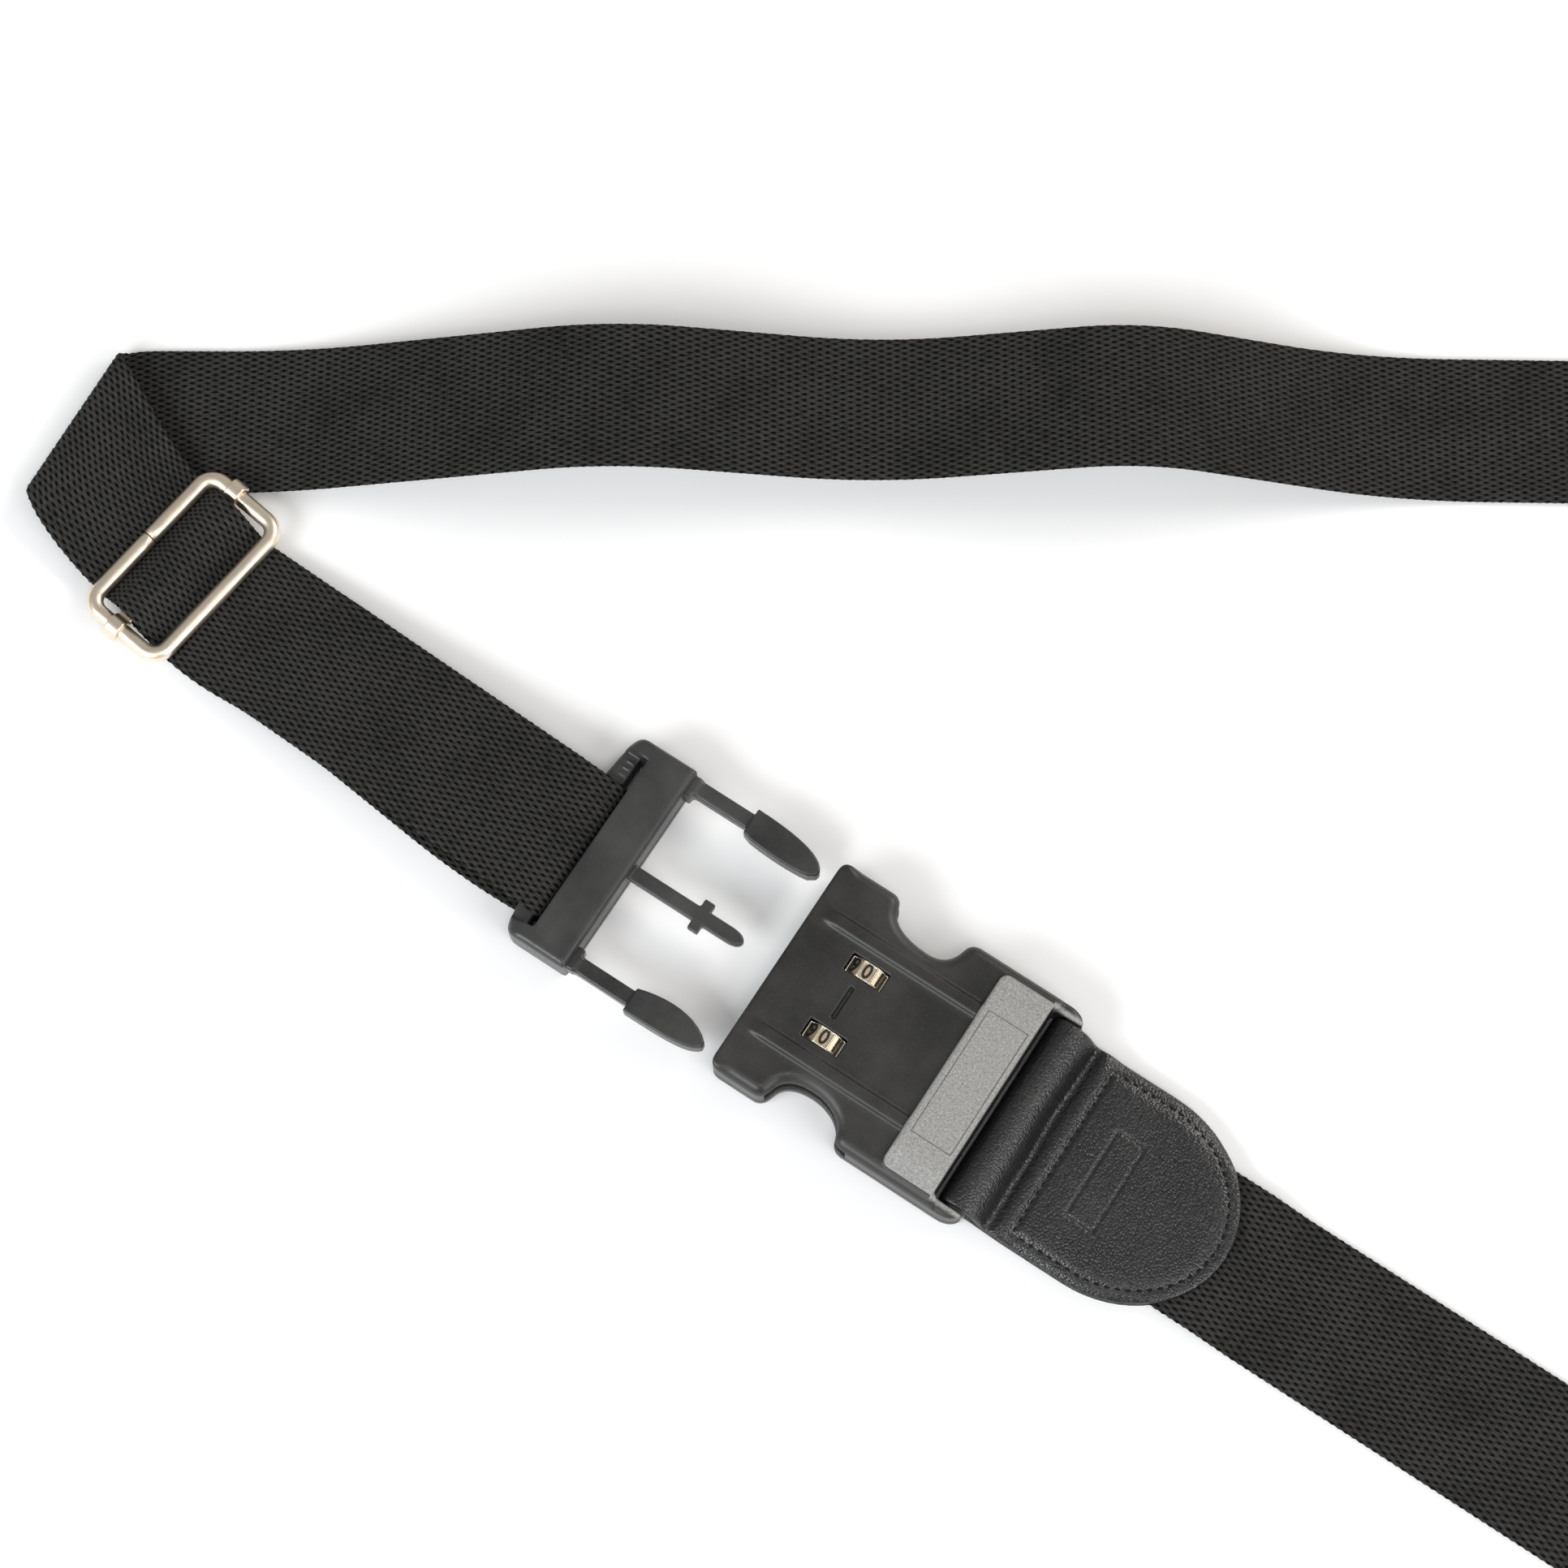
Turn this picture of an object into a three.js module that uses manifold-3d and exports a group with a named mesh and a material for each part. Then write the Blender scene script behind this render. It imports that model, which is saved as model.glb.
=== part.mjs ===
// A luggage strap: woven webbing with a two-dial combination lock buckle, a wire slider and a leather tab.
// Millimetres, +Z up. The origin is on the underside of the lock housing, straight below the dial axis.
// +X runs along the buckle from its plug to its socket, +Y across it. Everything lies on the plane z = 0.
import * as THREE from "three";
import { mergeVertices } from "three/addons/utils/BufferGeometryUtils.js";
import Module from "manifold-3d";

// Clearance kept between pieces that touch.
const GAP = 0.3;

// Webbing: the plain strap that everything else is threaded on.
const WEB_HALF = 19.5;
const WEB_THICK = 1.5;
const ON_TABLE = WEB_THICK / 2;

// Socket housing, in two shells.
const FRONT_X = -20;
const REAR_X = 52;
const HOUSING_HALF = 30.5;
const HOUSING_TOP = 14;
const RIB_X = -17.5;
const RIB_IN = 14.5;
const RIB_OUT = 18.5;
const RIB_TOP = 15;
const BRIDGE_X = 28.4;
const BRIDGE_HALF = 28;
const BRIDGE_TOP = 16.5;
const SPLIT_Z = 4.4;
const CHANNEL_TOP = 11.3;
const SLOT_X = 43;
const SLOT_HALF = 27.5;
const RIM_TOP = 12;

// Rear bar that the leather tab hangs on, and the tab itself.
const BAR_X = 49;
const BAR_Z = 7.5;
const BAR_LONG = 6;
const BAR_HIGH = 5;
const LEATHER = 1.6;
const TAB_HALF = 26.9;
const TAB_STRAIGHT_X = 80;
const TAB_TIP_X = 110.5;
const TAB_HIGH = 5.3;

// Combination lock: two dial wheels on stub axles at one height.
const DIAL_Z = 8;
const DIAL_Y = 9.7;
const DIAL_RADIUS = 6.4;
const DIAL_WIDE = 4.7;
const DIGITS = 10;
const AXLE_RADIUS = 1.2;
const BORE_RADIUS = 1.5;
const CAM_OUTER = 4.6;
const CAM_INNER = 2.8;
const CAM_GATE = 3.6;
const WINDOW_LONG = 10.7;
const WINDOW_WIDE = 5;

// Plug: a frame for the webbing, two side prongs and a centre prong.
const PLUG_FRONT_X = -63;
const PLUG_REAR_X = -82.4;
const PLUG_HALF = 30;
const PLUG_TOP = 12.6;
const PLUG_SLOT_X = -77.2;
const PLUG_SLOT_WIDE = 2.6;
const PLUG_SLOT_HALF = 25.2;
const PLUG_BAR_TOP = 9;
const PLUG_BAR_BOTTOM = 2.4;
const PRONG_LONG = 39;
const PRONG_Y = 26.8;
const PRONG_PIVOT_X = PLUG_FRONT_X + 2.6;
const PRONG_ARM = 4.2;
const HEAD_BACK = 17.7;
const HEAD_IN = 22.8;
const HEAD_OUT = 30.6;
const CENTRE_LONG = 33;
const LUG_BACK = 20.5;
const LUG_HALF = 4.7;

// Slider: a bent wire rectangle with a flat bar hooked across it.
const SLIDER = { x: -204, y: 4.6, z: 5.6, turn: -7.4 };
const WIRE_RADIUS = 1.7;
const SLIDER_LONG = 50;
const SLIDER_WIDE = 28;
const SLIDER_CORNER = 4.5;
const SLIDER_BAR_U = -1.5;
const SLIDER_BAR_WIDE = 4;
const SLIDER_BAR_THICK = 1.2;

const radians = THREE.MathUtils.degToRad;
const wasm = await Module();
wasm.setup();

const MATERIALS = {
  plastic: new THREE.MeshStandardMaterial({ color: 0x1b1c1e, roughness: 0.55, metalness: 0 }),
  leather: new THREE.MeshStandardMaterial({ color: 0x17181a, roughness: 0.45, metalness: 0 }),
  webbing: new THREE.MeshStandardMaterial({ color: 0x1f1f20, roughness: 0.9, metalness: 0 }),
  gold: new THREE.MeshStandardMaterial({ color: 0xc9b694, roughness: 0.3, metalness: 1 }),
  nickel: new THREE.MeshStandardMaterial({ color: 0xb9a892, roughness: 0.3, metalness: 1 }),
  steel: new THREE.MeshStandardMaterial({ color: 0x9a9da1, roughness: 0.35, metalness: 1 }),
  brass: new THREE.MeshStandardMaterial({ color: 0xb08d4f, roughness: 0.35, metalness: 1 }),
};

// ---------- solids and booleans ----------

// A closed three.js geometry as a solid that can be cut and joined.
function solid(geometry) {
  const bare = geometry.clone();
  bare.deleteAttribute("normal");
  bare.deleteAttribute("uv");
  const merged = mergeVertices(bare, 1e-4);
  const vertProperties = new Float32Array(merged.attributes.position.array);
  const triVerts = new Uint32Array(merged.index.array);
  return new wasm.Manifold(new wasm.Mesh({ numProp: 3, vertProperties, triVerts }));
}

function geometryOf(shape) {
  const mesh = shape.getMesh();
  return new THREE.BufferGeometry()
    .setAttribute("position", new THREE.BufferAttribute(mesh.vertProperties, 3))
    .setIndex(new THREE.BufferAttribute(mesh.triVerts, 1));
}

const join = (first, ...rest) => rest.reduce((sum, next) => sum.add(next), first);
const cut = (first, ...rest) => rest.reduce((left, next) => left.subtract(next), first);

function box(x0, x1, y0, y1, z0, z1) {
  const shape = new THREE.BoxGeometry(x1 - x0, y1 - y0, z1 - z0);
  return solid(shape.translate((x0 + x1) / 2, (y0 + y1) / 2, (z0 + z1) / 2));
}

// A plan outline raised from z0 to z1, with its top and bottom edges eased by `ease`.
function prism(shape, z0, z1, ease = 0, curveSegments = 6) {
  const geometry = new THREE.ExtrudeGeometry(shape, {
    depth: z1 - z0 - 2 * ease,
    bevelEnabled: ease > 0,
    bevelSize: ease,
    bevelThickness: ease,
    bevelOffset: -ease,
    bevelSegments: 3,
    curveSegments,
  });
  return solid(geometry.translate(0, 0, z0 + ease));
}

// A side outline in x and z, run across the part from y0 to y1.
function crossPrism(shape, y0, y1, curveSegments = 6) {
  const geometry = new THREE.ExtrudeGeometry(shape, { depth: y1 - y0, bevelEnabled: false, curveSegments });
  return solid(geometry.rotateX(Math.PI / 2).translate(0, y1, 0));
}

function roundedRectangle(x0, x1, y0, y1, r) {
  const shape = new THREE.Shape();
  shape.moveTo(x0 + r, y0);
  shape.lineTo(x1 - r, y0);
  shape.absarc(x1 - r, y0 + r, r, -Math.PI / 2, 0);
  shape.lineTo(x1, y1 - r);
  shape.absarc(x1 - r, y1 - r, r, 0, Math.PI / 2);
  shape.lineTo(x0 + r, y1);
  shape.absarc(x0 + r, y1 - r, r, Math.PI / 2, Math.PI);
  shape.lineTo(x0, y0 + r);
  shape.absarc(x0 + r, y0 + r, r, Math.PI, Math.PI * 1.5);
  return shape;
}

// A cylinder along Y.
function barrel(radius, y0, y1, x, z, sides = 20) {
  const shape = new THREE.CylinderGeometry(radius, radius, y1 - y0, sides);
  return solid(shape.translate(x, (y0 + y1) / 2, z));
}

// A solid turned on a vertical axis from a radius and height profile.
function turned(profile, x, y, sides = 16) {
  const points = profile.map(([r, z]) => new THREE.Vector2(r, z));
  return solid(new THREE.LatheGeometry(points, sides).rotateX(Math.PI / 2).translate(x, y, 0));
}

const group = new THREE.Group();
group.name = "luggage_strap";

function addMesh(parent, name, shape, material) {
  const mesh = new THREE.Mesh(geometryOf(shape), MATERIALS[material]);
  mesh.name = name;
  parent.add(mesh);
}

// ---------- the socket: two shells, four screws ----------

// Where each side's release notch starts, is deepest and ends along the housing.
const LEFT_NOTCH = { start: -2.6, deepest: 9.8, end: 17.4 };
const RIGHT_NOTCH = { start: -4.2, deepest: 5.2, end: 15.8 };
const NOTCH_FLOOR = 22.2;

// Half of the housing's plan, from its front edge to its rear edge, drawn on the +y side.
function housingHalf({ start, deepest, end }) {
  const frontCorner = 3;
  const rearCorner = 6;
  const lip = 3;
  const edge = HOUSING_HALF;
  const floor = NOTCH_FLOOR;
  const shape = new THREE.Shape();
  shape.moveTo(FRONT_X, 0);
  shape.lineTo(FRONT_X, edge - frontCorner);
  shape.quadraticCurveTo(FRONT_X, edge, FRONT_X + frontCorner, edge);
  shape.lineTo(start - lip, edge);
  shape.quadraticCurveTo(start - 0.2, edge, start + 0.6, edge - lip);
  shape.bezierCurveTo(start + 1.4, floor + 0.6, deepest - 3, floor, deepest, floor);
  shape.bezierCurveTo(deepest + 4.4, floor, end - 1.4, edge - 2 * lip, end - 0.6, edge - lip);
  shape.quadraticCurveTo(end + 0.1, edge, end + lip, edge);
  shape.lineTo(REAR_X - rearCorner, edge);
  shape.quadraticCurveTo(REAR_X, edge, REAR_X, edge - rearCorner);
  shape.lineTo(REAR_X, 0);
  return shape.getPoints(6);
}

// The right half is drawn on the +y side too, then mirrored and walked the other way round.
function housingOutline() {
  const left = housingHalf(LEFT_NOTCH);
  const right = housingHalf(RIGHT_NOTCH).slice(1, -1).reverse();
  return new THREE.Shape([...left, ...right.map((p) => new THREE.Vector2(p.x, -p.y))]);
}

const OUTLINE = housingOutline();
const SCREWS = [[-14, 15.2], [-14, -15.2], [34, 20], [34, -20]];
const SCREW_RADIUS = 1.1;
const SCREW_HEAD = 2.2;
const SIDES = [1, -1];

// y range of a feature that is repeated on both sides of the buckle.
function sideways(side, near, far) {
  return side > 0 ? [near, far] : [-far, -near];
}

// The space that the prongs slide into, and the pockets round each dial.
function sideChannel(side) {
  const end = 21.5;
  const [y0, y1] = sideways(side, 19.2, 29);
  return box(FRONT_X - 1, end, y0, y1, SPLIT_Z - 0.01, CHANNEL_TOP);
}

function centreChannel() {
  const shankHalf = 2.6;
  const lugHalf = 5.4;
  const shank = box(FRONT_X - 1, 14.5, -shankHalf, shankHalf, SPLIT_Z - 0.01, CHANNEL_TOP);
  const lug = box(FRONT_X - 1, 5.4, -lugHalf, lugHalf, SPLIT_Z - 0.01, CHANNEL_TOP);
  return join(shank, lug);
}

function dialPocket(side, floor) {
  const [wheel0, wheel1] = sideways(side, 6.95, 12.5);
  const [cam0, cam1] = sideways(side, 2.3, 7);
  const wheel = box(-7.1, 8.2, wheel0, wheel1, floor, 12.6);
  const cam = box(-5.2, 5.4, cam0, cam1, Math.max(floor, 3), 12.7);
  return join(wheel, cam);
}

function axlePocket(side) {
  const [y0, y1] = sideways(side, 12.4, 17.6);
  return box(-3.2, 3.2, y0, y1, SPLIT_Z - 0.01, CHANNEL_TOP);
}

function dialWindow(side) {
  const [y0, y1] = sideways(side, DIAL_Y - WINDOW_WIDE / 2, DIAL_Y + WINDOW_WIDE / 2);
  return box(-WINDOW_LONG / 2, WINDOW_LONG / 2, y0, y1, CHANNEL_TOP, BRIDGE_TOP);
}

function rearSlot() {
  return box(SLOT_X, REAR_X + 1, -SLOT_HALF, SLOT_HALF, -1, BRIDGE_TOP + 1);
}

function topShell() {
  const blank = prism(OUTLINE, 0, HOUSING_TOP, 1.5).subtract(box(-99, 99, -99, 99, -1, SPLIT_Z + GAP));
  const bridgePlan = roundedRectangle(BRIDGE_X, SLOT_X, -BRIDGE_HALF, BRIDGE_HALF, 2.5);
  const bridge = prism(bridgePlan, CHANNEL_TOP, BRIDGE_TOP, 0.8, 3);
  const barSection = roundedRectangle(
    BAR_X - BAR_LONG / 2, BAR_X + BAR_LONG / 2, BAR_Z - BAR_HIGH / 2, BAR_Z + BAR_HIGH / 2, 1.8);
  const bar = crossPrism(barSection, -SLOT_HALF - 0.4, SLOT_HALF + 0.4, 3);
  const ribs = SIDES.map((side) => {
    const [y0, y1] = sideways(side, RIB_IN, RIB_OUT);
    return prism(roundedRectangle(RIB_X, BRIDGE_X + 1, y0, y1, 1.7), CHANNEL_TOP, RIB_TOP, 0.6, 3);
  });
  const rimTops = box(SLOT_X + 1.2, REAR_X + 1, -99, 99, RIM_TOP, 20);
  const hollows = SIDES.flatMap((side) => [
    sideChannel(side), dialPocket(side, SPLIT_Z - 0.01), axlePocket(side), dialWindow(side)]);
  const hole = SCREW_RADIUS + GAP;
  const holes = SCREWS.map(([x, y]) => turned([[0, 0], [hole, 0], [hole, 9.6], [0, 9.6]], x, y, 12));
  const shell = join(cut(blank, rimTops), bridge, ...ribs);
  return cut(shell, rearSlot(), centreChannel(), ...hollows, ...holes).add(bar);
}

// A rib with a saddle that holds the outer end of a dial axle.
function axleRib(side) {
  const [y0, y1] = sideways(side, 15.4, 17);
  const [s0, s1] = sideways(side, 15, 17.4);
  return cut(box(-2.6, 2.6, y0, y1, SPLIT_Z - 1, DIAL_Z + 0.6), barrel(BORE_RADIUS, s0, s1, 0, DIAL_Z, 16));
}

function bottomShell() {
  const blank = prism(OUTLINE, 0, HOUSING_TOP, 1.2).subtract(box(-99, 99, -99, 99, SPLIT_Z, 99));
  const pockets = SIDES.map((side) => dialPocket(side, 1.2));
  const hole = SCREW_RADIUS + GAP;
  const sink = SCREW_HEAD + 0.4;
  const section = [[0, -1], [sink, -1], [sink, 1.8], [hole, 1.8], [hole, 9], [0, 9]];
  const holes = SCREWS.map(([x, y]) => turned(section, x, y, 12));
  return cut(blank, rearSlot(), ...pockets, ...holes).add(axleRib(1)).add(axleRib(-1));
}

function shellScrew(x, y) {
  const [head, shank] = [SCREW_HEAD, SCREW_RADIUS];
  const socket = turned([[0, -1], [shank, -1], [shank, 0.9], [0, 0.9]], x, y, 6);
  const section = [[0, 0.2], [head, 0.2], [head, 1.5], [shank, 1.5], [shank, 9.2], [0, 9.2]];
  return turned(section, x, y, 12).subtract(socket);
}

// ---------- the lock work: dials, cams, axles and springs ----------

function dialWheel(side) {
  const wheel = new THREE.CylinderGeometry(DIAL_RADIUS, DIAL_RADIUS, DIAL_WIDE, DIGITS);
  wheel.rotateY(Math.PI / DIGITS).translate(0, side * DIAL_Y, DIAL_Z);
  return cut(solid(wheel), barrel(BORE_RADIUS, -20, 20, 0, DIAL_Z, 16));
}

// A ring with one gate that faces the plug when the code is set, closed outside by a disc.
function lockCam(side) {
  const [ring0, ring1] = sideways(side, 2.6, 5.3);
  const [disc0, disc1] = sideways(side, 5.2, 6.9);
  const [hollow0, hollow1] = sideways(side, 2, 5.2);
  const ring = barrel(CAM_OUTER, ring0, ring1, 0, DIAL_Z, 24);
  const disc = barrel(CAM_OUTER, disc0, disc1, 0, DIAL_Z, 24);
  const hollow = barrel(CAM_INNER, hollow0, hollow1, 0, DIAL_Z, 20);
  const gate = box(-CAM_OUTER - 1, 0, hollow0, hollow1, DIAL_Z - CAM_GATE / 2, DIAL_Z + CAM_GATE / 2);
  return cut(join(ring, disc), hollow, gate, barrel(BORE_RADIUS, -20, 20, 0, DIAL_Z, 16));
}

function dialAxle(side) {
  const [y0, y1] = sideways(side, 5.4, 17.2);
  return barrel(AXLE_RADIUS, y0, y1, 0, DIAL_Z, 16);
}

// A wire coil round the axle, between the dial and its rib.
function clutchSpring(side) {
  const turns = 3;
  const steps = 10;
  const coilRadius = 2;
  const wireRadius = 0.22;
  const length = 2.3;
  const start = 12.5;
  const points = Array.from({ length: turns * steps + 1 }, (_, i) => {
    const angle = (i / steps) * Math.PI * 2;
    const y = side * (start + (i / (turns * steps)) * length);
    return new THREE.Vector3(coilRadius * Math.cos(angle), y, DIAL_Z + coilRadius * Math.sin(angle));
  });
  const wire = new THREE.Shape().absarc(0, 0, wireRadius, 0, Math.PI * 2);
  const path = new THREE.CatmullRomCurve3(points);
  const coil = new THREE.ExtrudeGeometry(wire, { steps: turns * 14, extrudePath: path, curveSegments: 3 });
  return solid(coil);
}

// A bent leaf that stands behind the dial and clicks on its flats.
function detentSpring(side) {
  const [y0, y1] = sideways(side, DIAL_Y - 1.6, DIAL_Y + 1.6);
  const leaf = new THREE.Shape([
    new THREE.Vector2(7.5, 1.5), new THREE.Vector2(7.9, 1.5), new THREE.Vector2(7.3, 8),
    new THREE.Vector2(7.9, 12), new THREE.Vector2(7.5, 12), new THREE.Vector2(6.8, 8)]);
  return crossPrism(leaf, y0, y1, 1);
}

// ---------- the plug ----------

function plugFrame() {
  const slotEnd = PLUG_SLOT_X + PLUG_SLOT_WIDE;
  const plan = roundedRectangle(PLUG_REAR_X, PLUG_FRONT_X, -PLUG_HALF, PLUG_HALF, 3.2);
  const blank = prism(plan, 0, PLUG_TOP, 1.5, 4);
  const well = box(PLUG_REAR_X - 1, slotEnd, -PLUG_SLOT_HALF, PLUG_SLOT_HALF, -1, PLUG_TOP + 1);
  const section = roundedRectangle(PLUG_REAR_X, PLUG_SLOT_X, PLUG_BAR_BOTTOM, PLUG_BAR_TOP, 1.5);
  const bar = crossPrism(section, -PLUG_SLOT_HALF - 0.5, PLUG_SLOT_HALF + 0.5, 3);
  const rimRamp = new THREE.Shape([
    new THREE.Vector2(PLUG_REAR_X - 1, PLUG_BAR_TOP), new THREE.Vector2(PLUG_SLOT_X - 1, PLUG_TOP + 0.1),
    new THREE.Vector2(PLUG_REAR_X - 1, PLUG_TOP + 0.1)]);
  return cut(blank, well, crossPrism(rimRamp, -99, 99, 1)).add(bar);
}

function centreProng() {
  const tip = PLUG_FRONT_X + CENTRE_LONG;
  const shank = new THREE.Shape();
  shank.moveTo(PLUG_FRONT_X - 1, -2);
  shank.lineTo(tip - 6, -2);
  shank.quadraticCurveTo(tip, -1.4, tip, 0);
  shank.quadraticCurveTo(tip, 1.4, tip - 6, 2);
  shank.lineTo(PLUG_FRONT_X - 1, 2);
  const lug = roundedRectangle(
    PLUG_FRONT_X + LUG_BACK - 1.35, PLUG_FRONT_X + LUG_BACK + 1.35, -LUG_HALF, LUG_HALF, 0.5);
  const low = DIAL_Z - 1.5;
  return join(prism(shank, low, low + 3, 0.4), prism(lug, low, low + 3, 0.3, 2));
}

function sideProng(side) {
  const headX = PLUG_FRONT_X + HEAD_BACK;
  const tip = PLUG_FRONT_X + PRONG_LONG;
  const head = new THREE.Shape();
  head.moveTo(headX, side * HEAD_IN);
  head.lineTo(tip - 8, side * HEAD_IN);
  head.quadraticCurveTo(tip - 2, side * (HEAD_IN + 0.6), tip, side * 25.4);
  head.lineTo(tip, side * 27);
  head.quadraticCurveTo(tip - 1.2, side * 29.6, tip - 5, side * HEAD_OUT);
  head.lineTo(headX, side * HEAD_OUT);
  const arm = new THREE.Shape();
  arm.moveTo(headX + 3, side * PRONG_Y - PRONG_ARM / 2);
  arm.lineTo(headX + 3, side * PRONG_Y + PRONG_ARM / 2);
  arm.absarc(PRONG_PIVOT_X, side * PRONG_Y, PRONG_ARM / 2, Math.PI / 2, Math.PI * 1.5);
  return join(prism(arm, DIAL_Z - 2.2, DIAL_Z + 2.2, 0.5), prism(head, DIAL_Z - 3, DIAL_Z + 3, 0.7));
}

// ---------- the slider ----------

// The wire is bent into a rectangle whose ends butt in the middle of one long side.
function sliderFrame() {
  const long = SLIDER_LONG / 2 - WIRE_RADIUS;
  const wide = SLIDER_WIDE / 2 - WIRE_RADIUS;
  const seam = 0.15;
  const corners = [[-wide, long, 180], [wide, long, 90], [wide, -long, 0], [-wide, -long, -90]];
  const points = [new THREE.Vector3(-wide, seam, 0), new THREE.Vector3(-wide, long * 0.5, 0)];
  corners.forEach(([u, v, first], i) => {
    const cu = u - Math.sign(u) * SLIDER_CORNER;
    const cv = v - Math.sign(v) * SLIDER_CORNER;
    for (let k = 0; k <= 4; k += 1) {
      const angle = radians(first - k * 22.5);
      const corner = new THREE.Vector3(Math.cos(angle), Math.sin(angle), 0);
      points.push(corner.multiplyScalar(SLIDER_CORNER).add(new THREE.Vector3(cu, cv, 0)));
    }
    if (i === 0 || i === 2) points.push(new THREE.Vector3(0, v, 0));
    if (i === 1) points.push(new THREE.Vector3(u, 0, 0));
  });
  points.push(new THREE.Vector3(-wide, -long * 0.5, 0), new THREE.Vector3(-wide, -seam, 0));
  const wire = new THREE.Shape().absarc(0, 0, WIRE_RADIUS, 0, Math.PI * 2);
  const path = new THREE.CatmullRomCurve3(points, false, "catmullrom", 0.5);
  return solid(new THREE.ExtrudeGeometry(wire, { steps: 84, extrudePath: path, curveSegments: 5 }));
}

// A flat bar whose ends hook over the short sides of the wire.
function sliderBar() {
  const u0 = SLIDER_BAR_U - SLIDER_BAR_WIDE / 2;
  const u1 = SLIDER_BAR_U + SLIDER_BAR_WIDE / 2;
  const v = SLIDER_LONG / 2 - WIRE_RADIUS;
  const half = SLIDER_BAR_THICK / 2;
  const inner = WIRE_RADIUS + GAP;
  const outer = inner + 1;
  const span = v - outer + 0.4;
  const flat = box(u0, u1, -span, span, -half, half);
  const hooks = SIDES.map((side) => {
    const ring = new THREE.Shape().absarc(0, 0, outer, 0, Math.PI * 2);
    ring.holes.push(new THREE.Path().absarc(0, 0, inner, 0, Math.PI * 2, true));
    const extent = { depth: SLIDER_BAR_WIDE, bevelEnabled: false, curveSegments: 16 };
    const tube = new THREE.ExtrudeGeometry(ring, extent);
    tube.rotateY(Math.PI / 2).translate(u0, side * v, 0);
    const [y0, y1] = sideways(side, v - 0.2, v + 5);
    return cut(solid(tube), box(u0 - 1, u1 + 1, y0, y1, -5, 0.2));
  });
  return join(flat, ...hooks);
}

// ---------- the webbing ----------

// The strap is a flat strip that is only ever bent, turned and folded. `at` is the distance along
// the strip where a bend begins; its fold line is `skew` degrees off square; a positive angle bends
// the strip towards its own upper face. A turn swings the strip in its own plane.
const bend = (at, angle, radius, skew = 0) => ({ at, angle, radius, skew, flat: false });
const turn = (at, angle, radius) => ({ at, angle, radius, skew: 0, flat: true });

const CORNER = 493.4;
const HANK = CORNER + 225;
const LAYER = 173;
const LOWER_CORNER = 1473.8;
const TAB_RISE = LOWER_CORNER + 120;
const WAVE_TURN_RADIUS = 39000;
const FOLD = 0.95;

// The long strap: through the slider, round its fold, over two low waves, then put away in a flat
// hank of five layers, and back along the table to the leather tab.
const STRAP = {
  start: [-191.9, 2.4, 2.85],
  heading: 169.5,
  bends: [
    bend(3.53, 45, 3, -3.1), bend(11.99, -45, 3.45, -3.1),
    bend(17.5, -45, 3.45, -3.1), bend(26.31, 45, 3, -3.1),
    turn(30, -16.5, 85), bend(32, 10, 20), bend(49.83, -10, 20),
    bend(64.69, -180, 2.6, -30),
    bend(105, -14.2, 150, -10), turn(147, -0.35, WAVE_TURN_RADIUS), bend(193, 24.3, 90),
    bend(260, -21.3, 110, -4), bend(333, 30, 60), bend(393.2, -19.472, 130, 12.089),
    bend(CORNER, -180, FOLD, 43.72), bend(CORNER + 28, -8, 20), bend(CORNER + 41.3, 8, 20),
    bend(HANK, 180, FOLD), bend(HANK + LAYER, -180, FOLD),
    bend(HANK + 2 * LAYER, 180, FOLD), bend(HANK + 3 * LAYER, -180, FOLD),
    bend(HANK + 3 * LAYER + 178, -20, 12), bend(HANK + 3 * LAYER + 194.59, 20, 12),
    bend(LOWER_CORNER, -180, FOLD, -30.1),
    bend(TAB_RISE, -10, 14), bend(TAB_RISE + 10.64, 10, 14),
  ],
};

// The doubled part: from the slider to the plug's bar, round it, and back to the slider's bar.
const LOOP = {
  start: [-191.9, 2.4, 2.85],
  heading: -2.5,
  bends: [
    bend(3, 4.25, 40), bend(100, -4.25, 40),
    bend(113.55, -90, 2.55, -2.5), bend(121.155, -90, 2.55, -2.5),
    turn(126, 8.5, 236), bend(131, 2.5, 20), bend(144.5, -2.5, 20),
    turn(186, -9.5, 241), turn(225, 13.5, 64),
    bend(241.4, -25, 6, 2.6), bend(248.7, 25, 6, 2.6), bend(254.5, -180, 1.75, 2.6),
    bend(262.8, -45, 1.75, 2.6),
  ],
};

// Carries a strip point past one bend: it is drawn back by the arc it used, then swung round it.
function swing(point, flat, { at, angle, radius, skew, flat: inPlane }) {
  const a = radians(skew);
  const sense = Math.sign(angle);
  const along = inPlane ? new THREE.Vector3(1, 0, 0) : new THREE.Vector3(Math.cos(a), -Math.sin(a), 0);
  const reach = (flat.x - at) * along.x + flat.y * along.y;
  if (reach <= 0) return;
  const theta = Math.min(reach / radius, radians(Math.abs(angle)));
  const axis = inPlane ? new THREE.Vector3(0, 0, 1) : new THREE.Vector3(-Math.sin(a), -Math.cos(a), 0);
  axis.multiplyScalar(sense);
  const toCentre = inPlane ? new THREE.Vector3(0, radius, 0) : new THREE.Vector3(0, 0, radius);
  const centre = new THREE.Vector3(at, 0, 0).addScaledVector(toCentre, sense);
  point.addScaledVector(along, -theta * radius).sub(centre).applyAxisAngle(axis, theta).add(centre);
}

// Where the strip point at distance s, t across and w above its middle layer lies in space.
function stripPoint(route, s, t, w) {
  const flat = new THREE.Vector3(s, t, w);
  const point = flat.clone();
  for (let i = route.bends.length - 1; i >= 0; i -= 1) swing(point, flat, route.bends[i]);
  point.applyAxisAngle(new THREE.Vector3(0, 0, 1), radians(route.heading));
  return point.add(new THREE.Vector3(...route.start));
}

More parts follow.
